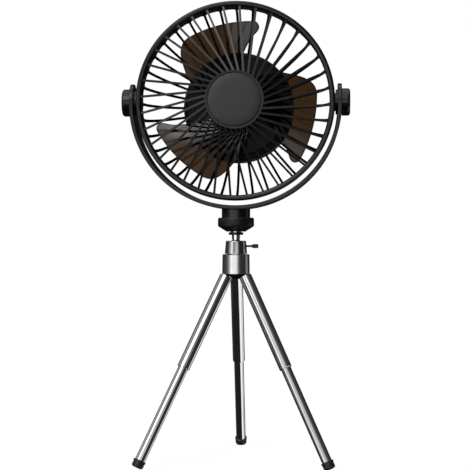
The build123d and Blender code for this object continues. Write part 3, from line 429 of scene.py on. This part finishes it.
GUARD_BLACK = Finish(
    "guard black", (0.005, 0.005, 0.0053), (0.0035, 0.0035, 0.0037), 0.2, grain_depth=0.000005
)
DRUM_BLACK = Finish("drum black", (0.004, 0.004, 0.0042), (0.003, 0.003, 0.0032), 0.22, specular=0.16)
COVER_BLACK = Finish(
    "cover black", (0.022, 0.022, 0.0225), (0.017, 0.017, 0.0175), 0.42, grain_scale=1600.0
)
YOKE_BLACK = Finish(
    "yoke black", (0.007, 0.007, 0.0073), (0.005, 0.005, 0.0052), 0.22, grain_depth=0.000005, specular=0.45
)
KNOB_BLACK = Finish(
    "knob black", (0.005, 0.005, 0.0053), (0.0035, 0.0035, 0.0037), 0.2, grain_depth=0.000005
)
COLLAR_BLACK = Finish(
    "collar black", (0.003, 0.003, 0.0032), (0.010, 0.010, 0.0103), 0.38,
    cloud_scale=700.0, grain_scale=1500.0, grain_depth=0.00004, specular=0.3,
)
DISC_GREY = Finish(
    "disc grey", (0.028, 0.028, 0.028), (0.024, 0.024, 0.024), 0.5, cloud_scale=25.0, specular=0.4
)
SMOKY_AMBER = SmokyBlade(
    "smoky amber", (0.038, 0.018, 0.0055), (0.030, 0.014, 0.0042), 0.05,
    spread=0.03, cloud_scale=20.0, grain_scale=300.0, grain_depth=0.0000005, ior=1.42,
    # The blades' dark cut edges are painted shade
    edge_reach=0.0024, painted_edge_shade=(0.0004, 0.0003, 0.0002),
)
CHROME = Metal("bright chrome", (0.86, 0.86, 0.87), (0.80, 0.80, 0.81), 0.07, spread=0.05)
HUB_CHROME = Metal(
    "hub chrome", (0.82, 0.82, 0.83), (0.76, 0.76, 0.77), 0.22, spread=0.05, line_depth=0.0000004
)
SOCKET_CHROME = Metal("socket chrome", (0.66, 0.66, 0.67), (0.56, 0.56, 0.57), 0.14, spread=0.12)
DARK_NUT = Metal("blackened nut", (0.045, 0.045, 0.048), (0.03, 0.03, 0.032), 0.30)
STEEL = Metal("plain steel", (0.62, 0.62, 0.63), (0.5, 0.5, 0.51), 0.25, spread=0.12)
BRASS = Metal("turned brass", (0.72, 0.53, 0.24), (0.62, 0.44, 0.19), 0.22, spread=0.1)
RUBBER = Finish(
    "black rubber", (0.012, 0.012, 0.012), (0.019, 0.019, 0.019), 0.36,
    grain_scale=1800.0, grain_depth=0.00004,
)
BOARD_GREEN = Finish("lacquered board", (0.03, 0.16, 0.07), (0.02, 0.10, 0.045), 0.35, grain_scale=700.0)
CELL_SLEEVE = Finish("cell sleeve", (0.05, 0.13, 0.36), (0.04, 0.10, 0.30), 0.28, grain_scale=500.0)
SWITCH_GREY = Finish("switch grey", (0.05, 0.05, 0.05), (0.04, 0.04, 0.04), 0.5)
NYLON = Finish("natural nylon", (0.72, 0.71, 0.68), (0.64, 0.63, 0.60), 0.45)
LENS = Clear("light pipe", (0.86, 0.88, 0.9), (0.8, 0.82, 0.84), 0.12)


# Modelling


def lathe(profile: Profile, steps: int, closed: bool = False) -> bmesh.types.BMesh:
    """Turn a profile round the local Z axis.

    Args:
        profile: Points of radius and height, in metres.
        steps: Number of steps round the axis.
        closed: Whether the last point joins the first, for a shape with a bore.

    Returns:
        The turned shape.
    """
    bm = bmesh.new()
    points = [bm.verts.new((radius, 0.0, height)) for radius, height in profile]
    ends = points[1:] + points[:1] if closed else points[1:]
    edges = [bm.edges.new(pair) for pair in zip(points, ends)]
    bmesh.ops.spin(
        bm, geom=points + edges, axis=(0, 0, 1), cent=(0, 0, 0), angle=math.tau, steps=steps, use_merge=True
    )
    bmesh.ops.remove_doubles(bm, verts=bm.verts, dist=MERGE_DISTANCE)
    bmesh.ops.recalc_face_normals(bm, faces=bm.faces)
    return bm


def flute(bm: bmesh.types.BMesh, steps: int, least_radius: float, depth: float) -> None:
    """Cut flutes round a turned shape by drawing in every other column of its outer points.

    Args:
        bm: A shape turned round the local Z axis.
        steps: Number of steps that it was turned in.
        least_radius: Points nearer to the axis than this stay.
        depth: Depth of the flutes in metres.
    """
    for point in bm.verts:
        radius = point.co.xy.length
        column = round(math.atan2(point.co.y, point.co.x) / math.tau * steps)
        if radius > least_radius and column % 2:
            point.co.xy *= 1.0 - depth / radius


@dataclass(frozen=True)
class CrossScrew:
    """A pan-head screw with a cross recess; the shares are of the head's radius or height."""

    head: float
    height: float
    shank: float
    crown_share: float = 0.78
    brow_share: float = 0.93
    brow_height: float = 0.84
    wall_height: float = 0.55
    point_share: float = 0.8
    point_length: float = 0.4
    arm_share: float = 0.6
    web_share: float = 0.38
    recess_depth: float = 0.6
    recess_taper: float = 0.8
    steps: int = 48
    arm_points: int = 12
    arm_turn: float = 15.0

    def shape(self, length: float) -> bmesh.types.BMesh:
        """Model the screw, with its head sitting on z = 0 and looking along +Z.

        Args:
            length: Length of the shank below the head.

        Returns:
            The screw.
        """
        head, height, shank = self.head, self.height, self.shank
        bm = lathe(
            [
                (0.0, -length), (self.point_share * shank, -length),
                (shank, -length + self.point_length * shank), (shank, 0.0),
                (head, 0.0), (head, self.wall_height * height),
                (self.brow_share * head, self.brow_height * height), (self.crown_share * head, height),
            ],
            self.steps,
        )
        rim = [edge for edge in bm.edges if edge.is_boundary]
        arms = bmesh.ops.create_circle(bm, segments=self.arm_points, radius=self.arm_share * head)["verts"]
        turned = Matrix.Rotation(math.radians(self.arm_turn), 3, "Z")
        bmesh.ops.rotate(bm, verts=arms, cent=(0, 0, 0), matrix=turned)
        # Every third point of the circle is drawn in to the corner between two arms
        for point in arms[1::3]:
            point.co.xy *= self.web_share
        bmesh.ops.translate(bm, verts=arms, vec=(0, 0, height))
        mouth = list(dict.fromkeys(edge for point in arms for edge in point.link_edges))
        bmesh.ops.bridge_loops(bm, edges=rim + mouth)
        cut = bmesh.ops.extrude_edge_only(bm, edges=mouth)["geom"]
        floor = [item for item in cut if isinstance(item, bmesh.types.BMVert)]
        bmesh.ops.translate(bm, verts=floor, vec=(0, 0, -self.recess_depth * height))
        bmesh.ops.scale(bm, verts=floor, vec=(self.recess_taper, self.recess_taper, 1.0))
        bmesh.ops.contextual_create(bm, geom=[item for item in cut if isinstance(item, bmesh.types.BMEdge)])
        bmesh.ops.recalc_face_normals(bm, faces=bm.faces)
        return bm


def joined(shape: bmesh.types.BMesh, places: Iterable[Matrix]) -> bmesh.types.BMesh:
    """Put copies of a shape in several places, as one mesh.

    Args:
        shape: The shape, which is used up.
        places: Where each copy goes.

    Returns:
        The copies.
    """
    first = bpy.data.meshes.new("shape")
    shape.to_mesh(first)
    shape.free()
    bm = bmesh.new()
    for place in places:
        before = len(bm.verts)
        bm.from_mesh(first)
        bm.verts.ensure_lookup_table()
        bmesh.ops.transform(bm, matrix=place, verts=bm.verts[before:])
    bpy.data.meshes.remove(first)
    return bm


def facing(origin: Iterable[float], along: Iterable[float]) -> Matrix:
    """Return the placing that puts local Z along a direction at a point."""
    turn = Vector(tuple(along)).to_track_quat("Z", "Y").to_matrix().to_4x4()
    return Matrix.Translation(Vector(tuple(origin))) @ turn


def place_along(bm: bmesh.types.BMesh, origin: Iterable[float], along: Iterable[float]) -> None:
    """Move a shape so that its local Z runs along a direction from a point."""
    bmesh.ops.transform(bm, matrix=facing(origin, along), verts=bm.verts)


# Sub-assemblies


class SubAssembly:
    """A sub-assembly: builds its finer pieces and dresses its packed ones."""

    def finishes(self) -> dict[str, Finish]:
        """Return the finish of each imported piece, by node name."""
        raise NotImplementedError

    def build(self) -> None:
        """Model the pieces that are finer than their solids; none unless a sub-assembly has some."""

    def dress(self, nodes: Nodes) -> None:
        """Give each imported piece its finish.

        Args:
            nodes: Node name to its object.
        """
        for name, finish in self.finishes().items():
            nodes[name].data.materials.clear()
            nodes[name].data.materials.append(finish.material())
            LOG.info("%s: %s", name, finish.name)

    @staticmethod
    def piece(
        name: str, bm: bmesh.types.BMesh, body: str, slot: str, finish: Finish, node: str
    ) -> None:
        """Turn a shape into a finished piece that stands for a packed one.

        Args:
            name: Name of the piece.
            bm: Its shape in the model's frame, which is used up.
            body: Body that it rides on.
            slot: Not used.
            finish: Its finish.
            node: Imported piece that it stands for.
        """
        mesh = bpy.data.meshes.new(name)
        bm.to_mesh(mesh)
        bm.free()
        mesh.shade_smooth()
        mesh.set_sharp_from_angle(angle=math.radians(SHARP_ANGLE))
        mesh.materials.append(finish.material())
        made = bpy.data.objects.new(name, mesh)
        bpy.context.scene.collection.objects.link(made)
        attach(made, body)
        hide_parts(node)
        LOG.info("%s: %d faces, %s", name, len(mesh.polygons), finish.name)


@dataclass
class Guard(SubAssembly):
    """Front and rear guard with the plain disc in the middle."""

    disc_groove: float = 0.0005
    disc_edge: float = 0.0007
    disc_edge_middle: float = 0.3
    disc_rise: float = 0.0004
    disc_dome: Pairs = ((0.66, 0.56), (0.33, 0.89), (0.0, 1.0))
    disc_steps: int = 128

    def finishes(self) -> dict[str, Finish]:
        """Return the guard's finishes."""
        return {
            "front_grille": GUARD_BLACK,
            "rear_grille": GUARD_BLACK,
            "front_cap": DISC_GREY,
            "pivot_inserts": BRASS,
            "pivot_washers": KNOB_BLACK,
        }

    def build(self) -> None:
        """Model the disc, faintly domed and with a soft edge beside its groove."""
        low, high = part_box("front_cap")
        radius = (high[0] - low[0]) / 2 - self.disc_groove
        depth = high[1] - low[1]
        face = depth - self.disc_rise
        middle = self.disc_edge_middle * self.disc_edge
        profile = [
            (0.0, 0.0), (radius, 0.0), (radius, face - self.disc_edge), (radius - middle, face - middle),
            (radius - self.disc_edge, face),
        ]
        profile += [(share * radius, face + rise * self.disc_rise) for share, rise in self.disc_dome]
        disc = lathe(profile, self.disc_steps)
        place_along(disc, (0.0, high[1], (low[2] + high[2]) / 2), (0, -1, 0))
        self.piece("front_disc", disc, "head", "cap_plastic", DISC_GREY, "front_cap")


@dataclass
class Drum(SubAssembly):
    """Drum behind the blades with the motor, the battery and the controls on its back."""

    screw_circle: float = 0.044
    screw_count: int = 4
    screw_start: float = 45.0
    screw: CrossScrew = CrossScrew(head=0.0026, height=0.0018, shank=0.0015)
    button_radius: float = 0.006
    button_flange: float = 0.007
    button_flange_height: float = 0.0012
    button_edge: float = 0.0006
    button_edge_middle: tuple[float, float] = (0.35, 0.3)
    button_dish: float = 0.0044
    button_dish_depth: float = 0.0005
    button_dish_curve: Pairs = ((0.8, 0.7), (0.4, 0.95), (0.0, 1.0))
    button_steps: int = 64
    axis_height: float = FAN_AXIS_HEIGHT

    def finishes(self) -> dict[str, Finish]:
        """Return the drum's finishes."""
        return {
            "motor_housing": DRUM_BLACK,
            "rear_cover": COVER_BLACK,
            "cover_screws": STEEL,
            "motor_can": STEEL,
            "motor_bearings": BRASS,
            "battery_cells": CELL_SLEEVE,
            "circuit_board": BOARD_GREEN,
            "button_switch": SWITCH_GREY,
            "charging_port": STEEL,
            "charge_light": LENS,
            "power_button": KNOB_BLACK,
        }

    def build(self) -> None:
        """Model the cover screws and the power button."""
        self.add_screws()
        self.add_button()

    def add_screws(self) -> None:
        """Model the screws round the cover."""
        low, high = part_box("cover_screws")
        seat = high[1] - self.screw.height
        screw = self.screw.shape(seat - low[1])
        places = []
        for turn in range(self.screw_count):
            angle = math.radians(self.screw_start + turn * FULL_TURN / self.screw_count)
            across = self.screw_circle * math.cos(angle)
            up = self.screw_circle * math.sin(angle)
            spot = (across, seat, self.axis_height + up)
            places.append(facing(spot, (0, 1, 0)) @ Matrix.Rotation(angle, 4, "Z"))
        self.piece("cover_screw_set", joined(screw, places), "head", "steel", STEEL, "cover_screws")

    def add_button(self) -> None:
        """Model the power button with its flange, soft edge and dished face."""
        low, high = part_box("power_button")
        height = high[1] - low[1]
        radius, edge = self.button_radius, self.button_edge
        inward, down = self.button_edge_middle
        profile = [
            (0.0, 0.0), (self.button_flange, 0.0), (self.button_flange, self.button_flange_height),
            (radius, self.button_flange_height), (radius, height - edge),
            (radius - inward * edge, height - down * edge), (radius - edge, height),
            (self.button_dish, height),
        ]
        for share, sunk in self.button_dish_curve:
            profile.append((share * self.button_dish, height - sunk * self.button_dish_depth))
        button = lathe(profile, self.button_steps)
        place_along(button, (0.0, low[1], (low[2] + high[2]) / 2), (0, 1, 0))
        self.piece("power_button_cap", button, "power_button", "cap_plastic", KNOB_BLACK, "power_button")


@dataclass
class Blades(SubAssembly):
    """Smoky impeller with its shaft and nut."""

    def finishes(self) -> dict[str, Finish]:
        """Return the impeller's finishes."""
        return {"impeller": SMOKY_AMBER, "motor_shaft": STEEL, "impeller_nut": KNOB_BLACK}


@dataclass
class Yoke(SubAssembly):
    """U-shaped yoke with its foot and the clamp knobs."""

    screw_offset: float = 0.0088
    screw: CrossScrew = CrossScrew(head=0.0027, height=0.0016, shank=0.0015)

    def finishes(self) -> dict[str, Finish]:
        """Return the yoke's finishes."""
        return {
            "yoke": YOKE_BLACK,
            "yoke_foot": YOKE_BLACK,
            "yoke_screws": STEEL,
            "thread_insert": BRASS,
            "left_knob": KNOB_BLACK,
            "right_knob": KNOB_BLACK,
            "left_pivot_screw": STEEL,
            "right_pivot_screw": STEEL,
        }

    def build(self) -> None:
        """Model the screws that hold the foot."""
        low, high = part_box("yoke_screws")
        seat = high[2] - self.screw.height
        screw = self.screw.shape(seat - low[2])
        places = [facing((side * self.screw_offset, 0.0, seat), (0, 0, 1)) for side in (-1, 1)]
        self.piece("yoke_screw_set", joined(screw, places), "yoke", "steel", STEEL, "yoke_screws")


@dataclass
class BallHead(SubAssembly):
    """Ball head: collar, stem, socket and thumb screw."""

    collar_bore: float = 0.003195
    collar_nose: float = 0.0086
    collar_cone: float = 0.0049
    collar_edge: float = 0.00025
    collar_edge_drop: float = 0.4
    collar_flute_start: float = 0.5
    collar_flutes: int = 72
    collar_flute_depth: float = 0.00022
    thumb_rod: float = 0.00095
    thumb_head_length: float = 0.0062
    thumb_nose: float = 0.0012
    thumb_edge: float = 0.0004
    thumb_dimple: tuple[float, float] = (0.55, 0.45)
    thumb_flute_start: float = 0.98
    thumb_flutes: int = 20
    thumb_flute_depth: float = 0.00014

    def finishes(self) -> dict[str, Finish]:
        """Return the ball head's finishes."""
        return {
            "platform": COLLAR_BLACK,
            "platform_pad": RUBBER,
            "platform_nut": DARK_NUT,
            "ball_stem": CHROME,
            "ball_seat": NYLON,
            "ball_socket": SOCKET_CHROME,
            "lock_screw": KNOB_BLACK,
        }

    def build(self) -> None:
        """Model the fluted collar and the thumb screw."""
        self.add_collar()
        self.add_thumb_screw()

    def add_collar(self) -> None:
        """Model the collar with its conical underside and a fluted rim."""
        low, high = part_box("platform")
        rim = high[0]
        cone = low[2] + self.collar_cone
        steps = 2 * self.collar_flutes
        edge = self.collar_edge
        collar = lathe(
            [
                (self.collar_bore, low[2]), (self.collar_nose, low[2]),
                (rim - edge, cone - self.collar_edge_drop * edge), (rim, cone + edge),
                (rim, high[2] - edge), (rim - edge, high[2]), (self.collar_bore, high[2]),
            ],
            steps,
            closed=True,
        )
        flute(collar, steps, rim - self.collar_flute_start * edge, self.collar_flute_depth)
        self.piece("fluted_collar", collar, "ball_stem", "black_plastic", COLLAR_BLACK, "platform")

    def add_thumb_screw(self) -> None:
        """Model the thumb screw: plain rod, fluted head and a dimple in its end."""
        low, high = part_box("lock_screw")
        radius = (high[2] - low[2]) / 2
        length = high[0] - low[0]
        nose = length - self.thumb_head_length
        head = nose + self.thumb_nose
        steps = 2 * self.thumb_flutes
        edge = self.thumb_edge
        dimple_rim, dimple_floor = self.thumb_dimple
        thumb = lathe(
            [
                (0.0, 0.0), (self.thumb_rod, 0.0), (self.thumb_rod, nose), (radius - edge, head - edge),
                (radius, head), (radius, length - edge), (radius - edge, length),
                (dimple_rim * radius, length), (dimple_floor * radius, length - edge), (0.0, length - edge),
            ],
            steps,
        )
        flute(thumb, steps, self.thumb_flute_start * radius, self.thumb_flute_depth)
        place_along(thumb, (low[0], 0.0, (low[2] + high[2]) / 2), (1, 0, 0))
        self.piece("thumb_screw", thumb, "lock_screw", "black_plastic", KNOB_BLACK, "lock_screw")


class Leg(Enum):
    """The tripod's legs: name and direction seen from above, in degrees."""

    LEFT = ("left", 210.0)
    RIGHT = ("right", 330.0)
    REAR = ("rear", 90.0)


@dataclass
class Tripod(SubAssembly):
    """Leg hub with three folding telescopic legs on rubber feet."""

    spread: float = 27.8
    pin_circle: float = 0.00681273
    pin_height: float = 0.17457858
    foot_start: float = 0.18898209
    foot_length: float = 0.007
    foot_radius: float = 0.0054
    foot_socket: float = 0.0046
    foot_socket_depth: float = 0.005
    foot_corner: float = 0.002
    foot_steps: int = 64
    corner_steps: int = 6
    floor_tolerance: float = 0.0000001
    bead: float = 0.00035
    bead_slope: float = 0.0003
    bead_height: float = 0.0016
    tread_rings: tuple[float, ...] = (0.0022, 0.0032, 0.0042)
    tread_depth: float = 0.00028
    tread_slope: float = 0.00015
    tread_height: float = 0.00055
    screw: CrossScrew = CrossScrew(head=0.0026, height=0.002, shank=0.0015)

    def finishes(self) -> dict[str, Finish]:
        """List the finishes of the hub and of each leg.

        Returns:
            Node name to its finish.
        """
        made = {"hub_shell": HUB_CHROME, "hinge_core": KNOB_BLACK, "hub_screw": STEEL, "leg_pins": STEEL}
        for leg in Leg:
            side, _ = leg.value
            made[f"upper_leg_{side}"] = CHROME
            made[f"lower_leg_{side}"] = CHROME
            made[f"leg_lug_{side}"] = KNOB_BLACK
            made[f"slip_bush_{side}"] = NYLON
            made[f"foot_{side}"] = RUBBER
        return made

    def build(self) -> None:
        """Model the hub's screw and the feet."""
        low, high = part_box("hub_screw")
        seat = low[2] + self.screw.height
        screw = self.screw.shape(high[2] - seat)
        place_along(screw, (0.0, 0.0, seat), (0, 0, -1))
        self.piece("hub_cross_screw", screw, "tripod_hub", "steel", STEEL, "hub_screw")
        for leg in Leg:
            side, direction = leg.value
            foot = self.foot(direction)
            self.piece(f"ribbed_foot_{side}", foot, f"lower_leg_{side}", "rubber", RUBBER, f"foot_{side}")

    def foot(self, direction: float) -> bmesh.types.BMesh:
        """Model a rubber foot with a rolled rim and tread rings, flat where it stands.

        Args:
            direction: Direction of its leg seen from above, in degrees.

        Returns:
            The foot in the model's frame.
        """
        outer, length, corner = self.foot_radius, self.foot_length, self.foot_corner
        rolled = outer + self.bead
        sunk = outer - self.tread_depth
        profile = [
            (self.foot_socket, 0.0), (outer, 0.0), (rolled, self.bead_slope),
            (rolled, self.bead_height - self.bead_slope), (outer, self.bead_height),
        ]
        for start in self.tread_rings:
            end = start + self.tread_height
            profile += [
                (outer, start), (sunk, start + self.tread_slope),
                (sunk, end - self.tread_slope), (outer, end),
            ]
        for step in range(self.corner_steps + 1):
            turn = math.pi / 2 * step / self.corner_steps
            inward, down = corner * (1 - math.cos(turn)), corner * (1 - math.sin(turn))
            profile.append((outer - inward, length - down))
        profile += [(0.0, length), (0.0, self.foot_socket_depth), (self.foot_socket, self.foot_socket_depth)]
        bm = lathe(profile, self.foot_steps, closed=True)
        way = math.radians(direction)
        outward = Vector((math.cos(way), math.sin(way), 0.0))
        lean = math.radians(self.spread)
        along = outward * math.sin(lean) - Vector((0.0, 0.0, math.cos(lean)))
        pin = outward * self.pin_circle + Vector((0.0, 0.0, self.pin_height))
        place_along(bm, pin + along * self.foot_start, along)
        everything = bm.verts[:] + bm.edges[:] + bm.faces[:]
        bmesh.ops.bisect_plane(
            bm, geom=everything, plane_co=(0, 0, 0), plane_no=(0, 0, -1), clear_outer=True,
            dist=self.floor_tolerance,
        )
        bmesh.ops.holes_fill(bm, edges=[edge for edge in bm.edges if edge.is_boundary], sides=0)
        bmesh.ops.recalc_face_normals(bm, faces=bm.faces)
        return bm


# Studio


@dataclass(frozen=True)
class LightRing:
    """Strips of studio light round the fan: turn from the front in degrees, positive to the right, and level.

    The ring takes over from the ring below between two heights of the direction, as sines of the elevation.
    """

    low: float
    high: float
    strips: Pairs


DARK = 0.015
FRONT_SHARE = 0.5
FLOOR_RING = LightRing(
    -1.0, -0.99, ((-180, DARK), (54, DARK), (60, 1.1), (97, 1.1), (104, 0.05), (180, DARK))
)
LOW_RING = LightRing(
    -0.48,
    -0.42,
    (
        (-180, DARK), (-70, 0.05), (-56, 1.2), (-32, 1.2), (-20, 0.2), (24, 0.05), (100, 0.02), (107, 1.0),
        (124, 1.0), (131, 0.05), (180, DARK),
    ),
)
LEVEL_RING = LightRing(
    -0.15,
    -0.1,
    (
        (-180, DARK), (-130, DARK), (-122, 0.05), (-94, 0.02), (-62, 0.05), (-52, 0.3), (-38, 1.35),
        (-2, 1.5), (24, 0.04), (92, 0.02), (97, 0.25), (113, 0.25), (118, DARK), (180, DARK),
    ),
)
LENS_RING = LightRing(
    0.035,
    0.08,
    (
        (-180, DARK), (-122, 0.05), (-90, 0.05), (-80, 0.2), (-62, 0.5), (-46, 1.4), (-36, 1.4), (-28, 0.3),
        (-8, 0.3), (2, 0.9), (16, 0.9), (23, 0.7), (29, 0.06), (42, 0.03), (92, 0.02), (97, 0.4), (113, 0.4),
        (118, DARK), (180, DARK),
    ),
)
MIDDLE_RING = LightRing(
    0.17,
    0.23,
    (
        (-180, DARK), (-122, 0.05), (-112, 0.6), (-60, 0.4), (-44, 0.4), (-30, 0.65), (-6, 0.65), (4, 0.5),
        (15, 0.1), (42, 0.03), (180, DARK),
    ),
)
UPPER_RING = LightRing(
    0.4,
    0.46,
    (
        (-180, DARK), (-124, 0.05), (-112, 0.3), (-57, 0.3), (-52, 0.05), (-48, 0.05), (-43, 3.4), (-10, 3.2),
        (4, 0.5), (20, 0.2), (46, 0.05), (180, DARK),
    ),
)
TOP_RING = LightRing(0.75, 0.9, ((-180, 1.0), (180, 1.0)))


@dataclass(frozen=True)
class SoftBox:
    """A square soft light: where it hangs, where it points, its width in metres and its power in watts."""

    name: str
    spot: Point
    aim: Point
    width: float
    power: float


FRONT_BOX = SoftBox("front_box", (-0.9, -1.5, 1.5), (0.0, 0.0, 0.25), 1.2, 12.0)
REAR_BOX = SoftBox("rear_box", (1.0, 1.5, 0.9), (0.0, 0.0, 0.25), 1.4, 30.0)
KEY_BOX = SoftBox("key_box", (-0.97, -0.56, 1.25), (0.0, 0.0, 0.25), 0.6, 2.6)
SIDE_BOX = SoftBox("side_box", (-0.36, -0.42, 0.42), (0.0, 0.0, 0.33), 0.2, 0.45)


@dataclass
class Studio:
    """Pale floor, soft light and the camera."""

    floor_radius: float = 1.1
    floor_sides: int = 96
    fade_start: float = 0.7
    fade_end: float = 0.98
    floor_grey: float = 0.95
    floor_glow: float = 0.96
    floor_bounce: float = 0.35
    camera_turn: float = 3.0
    camera_distance: float = 1.25
    camera_height: float = 0.206
    camera_slip: float = 0.0009
    lens: float = 104.9
    sensor_width: float = 36.0
    brightest: float = 4.0
    rings: tuple[LightRing, ...] = (
        FLOOR_RING, LOW_RING, LEVEL_RING, LENS_RING, MIDDLE_RING, UPPER_RING, TOP_RING,
    )
    boxes: tuple[SoftBox, ...] = (FRONT_BOX, REAR_BOX, KEY_BOX, SIDE_BOX)

    def build(self) -> None:
        """Make the floor, the light and the camera."""
        bpy.context.scene.view_settings.view_transform = "Standard"
        self.add_world()
        self.add_floor()
        self.add_lights()
        self.add_camera()

    def add_world(self) -> None:
        """Surround the fan with a white backdrop and rings of studio light."""
        world = bpy.data.worlds.new("studio")
        bpy.context.scene.world = world
        world.use_nodes = True
        world.node_tree.nodes.clear()
        graph = Graph(world.node_tree)
        place = graph.add("ShaderNodeTexCoord").outputs["Generated"]
        way = graph.add("ShaderNodeSeparateXYZ", {0: place}).outputs
        turn = graph.math("ARCTAN2", way["X"], graph.math("MULTIPLY", way["Y"], -1.0))
        share = graph.math("ADD", graph.math("DIVIDE", turn, math.tau), FRONT_SHARE)
        studio = BLACK
        for ring in self.rings:
            colours = self.ring_colours(graph, ring, share)
            studio = graph.mix(graph.ramp(way["Z"], ring.low, ring.high), studio, colours)
        # The camera sees a white backdrop, also through the blades
        rays = graph.add("ShaderNodeLightPath").outputs
        seen = graph.math("MAXIMUM", rays["Is Camera Ray"], rays["Is Transmission Ray"])
        light = graph.add("ShaderNodeBackground", {"Color": studio, "Strength": self.brightest})
        backdrop = graph.add("ShaderNodeBackground", {"Color": WHITE, "Strength": 1.0})
        both = graph.add("ShaderNodeMixShader", {0: seen, 1: light.outputs[0], 2: backdrop.outputs[0]})
        graph.add("ShaderNodeOutputWorld", {"Surface": both.outputs[0]})

    def ring_colours(
        self, graph: Graph, ring: LightRing, share: bpy.types.NodeSocket
    ) -> bpy.types.NodeSocket:
        """Add a colour ramp with the strips of one ring.

        Args:
            graph: The world's graph.
            ring: The ring of light.
            share: Share of the full turn, with the front in the middle.

        Returns:
            The ramp's colour.
        """
        ramp = graph.add("ShaderNodeValToRGB", {0: share})
        stops = ramp.color_ramp.elements
        while len(stops) < len(ring.strips):
            stops.new(1.0)
        for stop, (angle, level) in zip(stops, ring.strips):
            stop.position = angle / FULL_TURN + FRONT_SHARE
            grey = level / self.brightest
            stop.color = (grey, grey, grey, 1.0)
        return ramp.outputs["Color"]

    def add_floor(self) -> None:
        """Lay a round pale floor that fades into the backdrop."""
        bm = bmesh.new()
        bmesh.ops.create_circle(bm, cap_ends=True, segments=self.floor_sides, radius=self.floor_radius)
        mesh = bpy.data.meshes.new("floor")
        bm.to_mesh(mesh)
        bm.free()
        mesh.materials.append(self.floor_material())
        floor = bpy.data.objects.new("floor", mesh)
        floor.visible_glossy = False
        bpy.context.scene.collection.objects.link(floor)

    def floor_material(self) -> bpy.types.Material:
        """Make the floor's material: white to the camera, weaker to other rays, clear at its edge.

        Returns:
            The material.
        """
        made = bpy.data.materials.new("pale floor")
        made.use_nodes = True
        made.node_tree.nodes.clear()
        graph = Graph(made.node_tree)
        place = graph.add("ShaderNodeTexCoord").outputs["Object"]
        reach = graph.add("ShaderNodeVectorMath", {0: place}, operation="LENGTH").outputs["Value"]
        fade = graph.ramp(reach, self.fade_start * self.floor_radius, self.fade_end * self.floor_radius)
        rays = graph.add("ShaderNodeLightPath").outputs
        grey = (self.floor_grey, self.floor_grey, self.floor_grey, 1.0)
        matt = graph.add("ShaderNodeBsdfDiffuse", {"Color": grey})
        glow = graph.add("ShaderNodeEmission", {"Color": WHITE, "Strength": 1.0})
        pale = graph.add("ShaderNodeMixShader", {0: self.floor_glow, 1: matt.outputs[0], 2: glow.outputs[0]})
        bounce = graph.add("ShaderNodeEmission", {"Color": WHITE, "Strength": self.floor_bounce})
        lift = graph.add(
            "ShaderNodeMixShader", {0: rays["Is Camera Ray"], 1: bounce.outputs[0], 2: pale.outputs[0]}
        )
        clear = graph.add("ShaderNodeBsdfTransparent")
        both = graph.add("ShaderNodeMixShader", {0: fade, 1: lift.outputs[0], 2: clear.outputs[0]})
        graph.add("ShaderNodeOutputMaterial", {"Surface": both.outputs[0]})
        return made

    def add_lights(self) -> None:
        """Hang the soft boxes, which no mirror and no camera sees."""
        for box in self.boxes:
            data = bpy.data.lights.new(box.name, "AREA")
            data.size = box.width
            data.energy = box.power
            lamp = bpy.data.objects.new(box.name, data)
            lamp.location = box.spot
            lamp.rotation_euler = (Vector(box.aim) - Vector(box.spot)).to_track_quat("-Z", "Y").to_euler()
            lamp.visible_glossy = False
            lamp.visible_camera = False
            bpy.context.scene.collection.objects.link(lamp)

    def add_camera(self) -> None:
        """Set the camera level in front of the fan, turned a little to the right of it."""
        turn = math.radians(self.camera_turn)
        back = Vector((math.sin(turn), -math.cos(turn), 0.0))
        right = Vector((math.cos(turn), math.sin(turn), 0.0))
        data = bpy.data.cameras.new("camera")
        data.lens = self.lens
        data.sensor_width = self.sensor_width
        camera = bpy.data.objects.new("camera", data)
        level = Vector((0, 0, self.camera_height))
        camera.location = back * self.camera_distance - right * self.camera_slip + level
        camera.rotation_euler = (-back).to_track_quat("-Z", "Y").to_euler()
        bpy.context.scene.collection.objects.link(camera)
        bpy.context.scene.camera = camera


def main() -> None:
    """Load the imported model, build and dress each sub-assembly, and set the studio."""
    logging.basicConfig(level=logging.INFO, format="%(message)s")
    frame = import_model()
    for part in (Guard(), Drum(), Blades(), Yoke(), BallHead(), Tripod()):
        part.dress(frame["nodes"])
        part.build()
    Studio().build()
    bpy.context.view_layer.update()


if __name__ == "__main__":
    main()
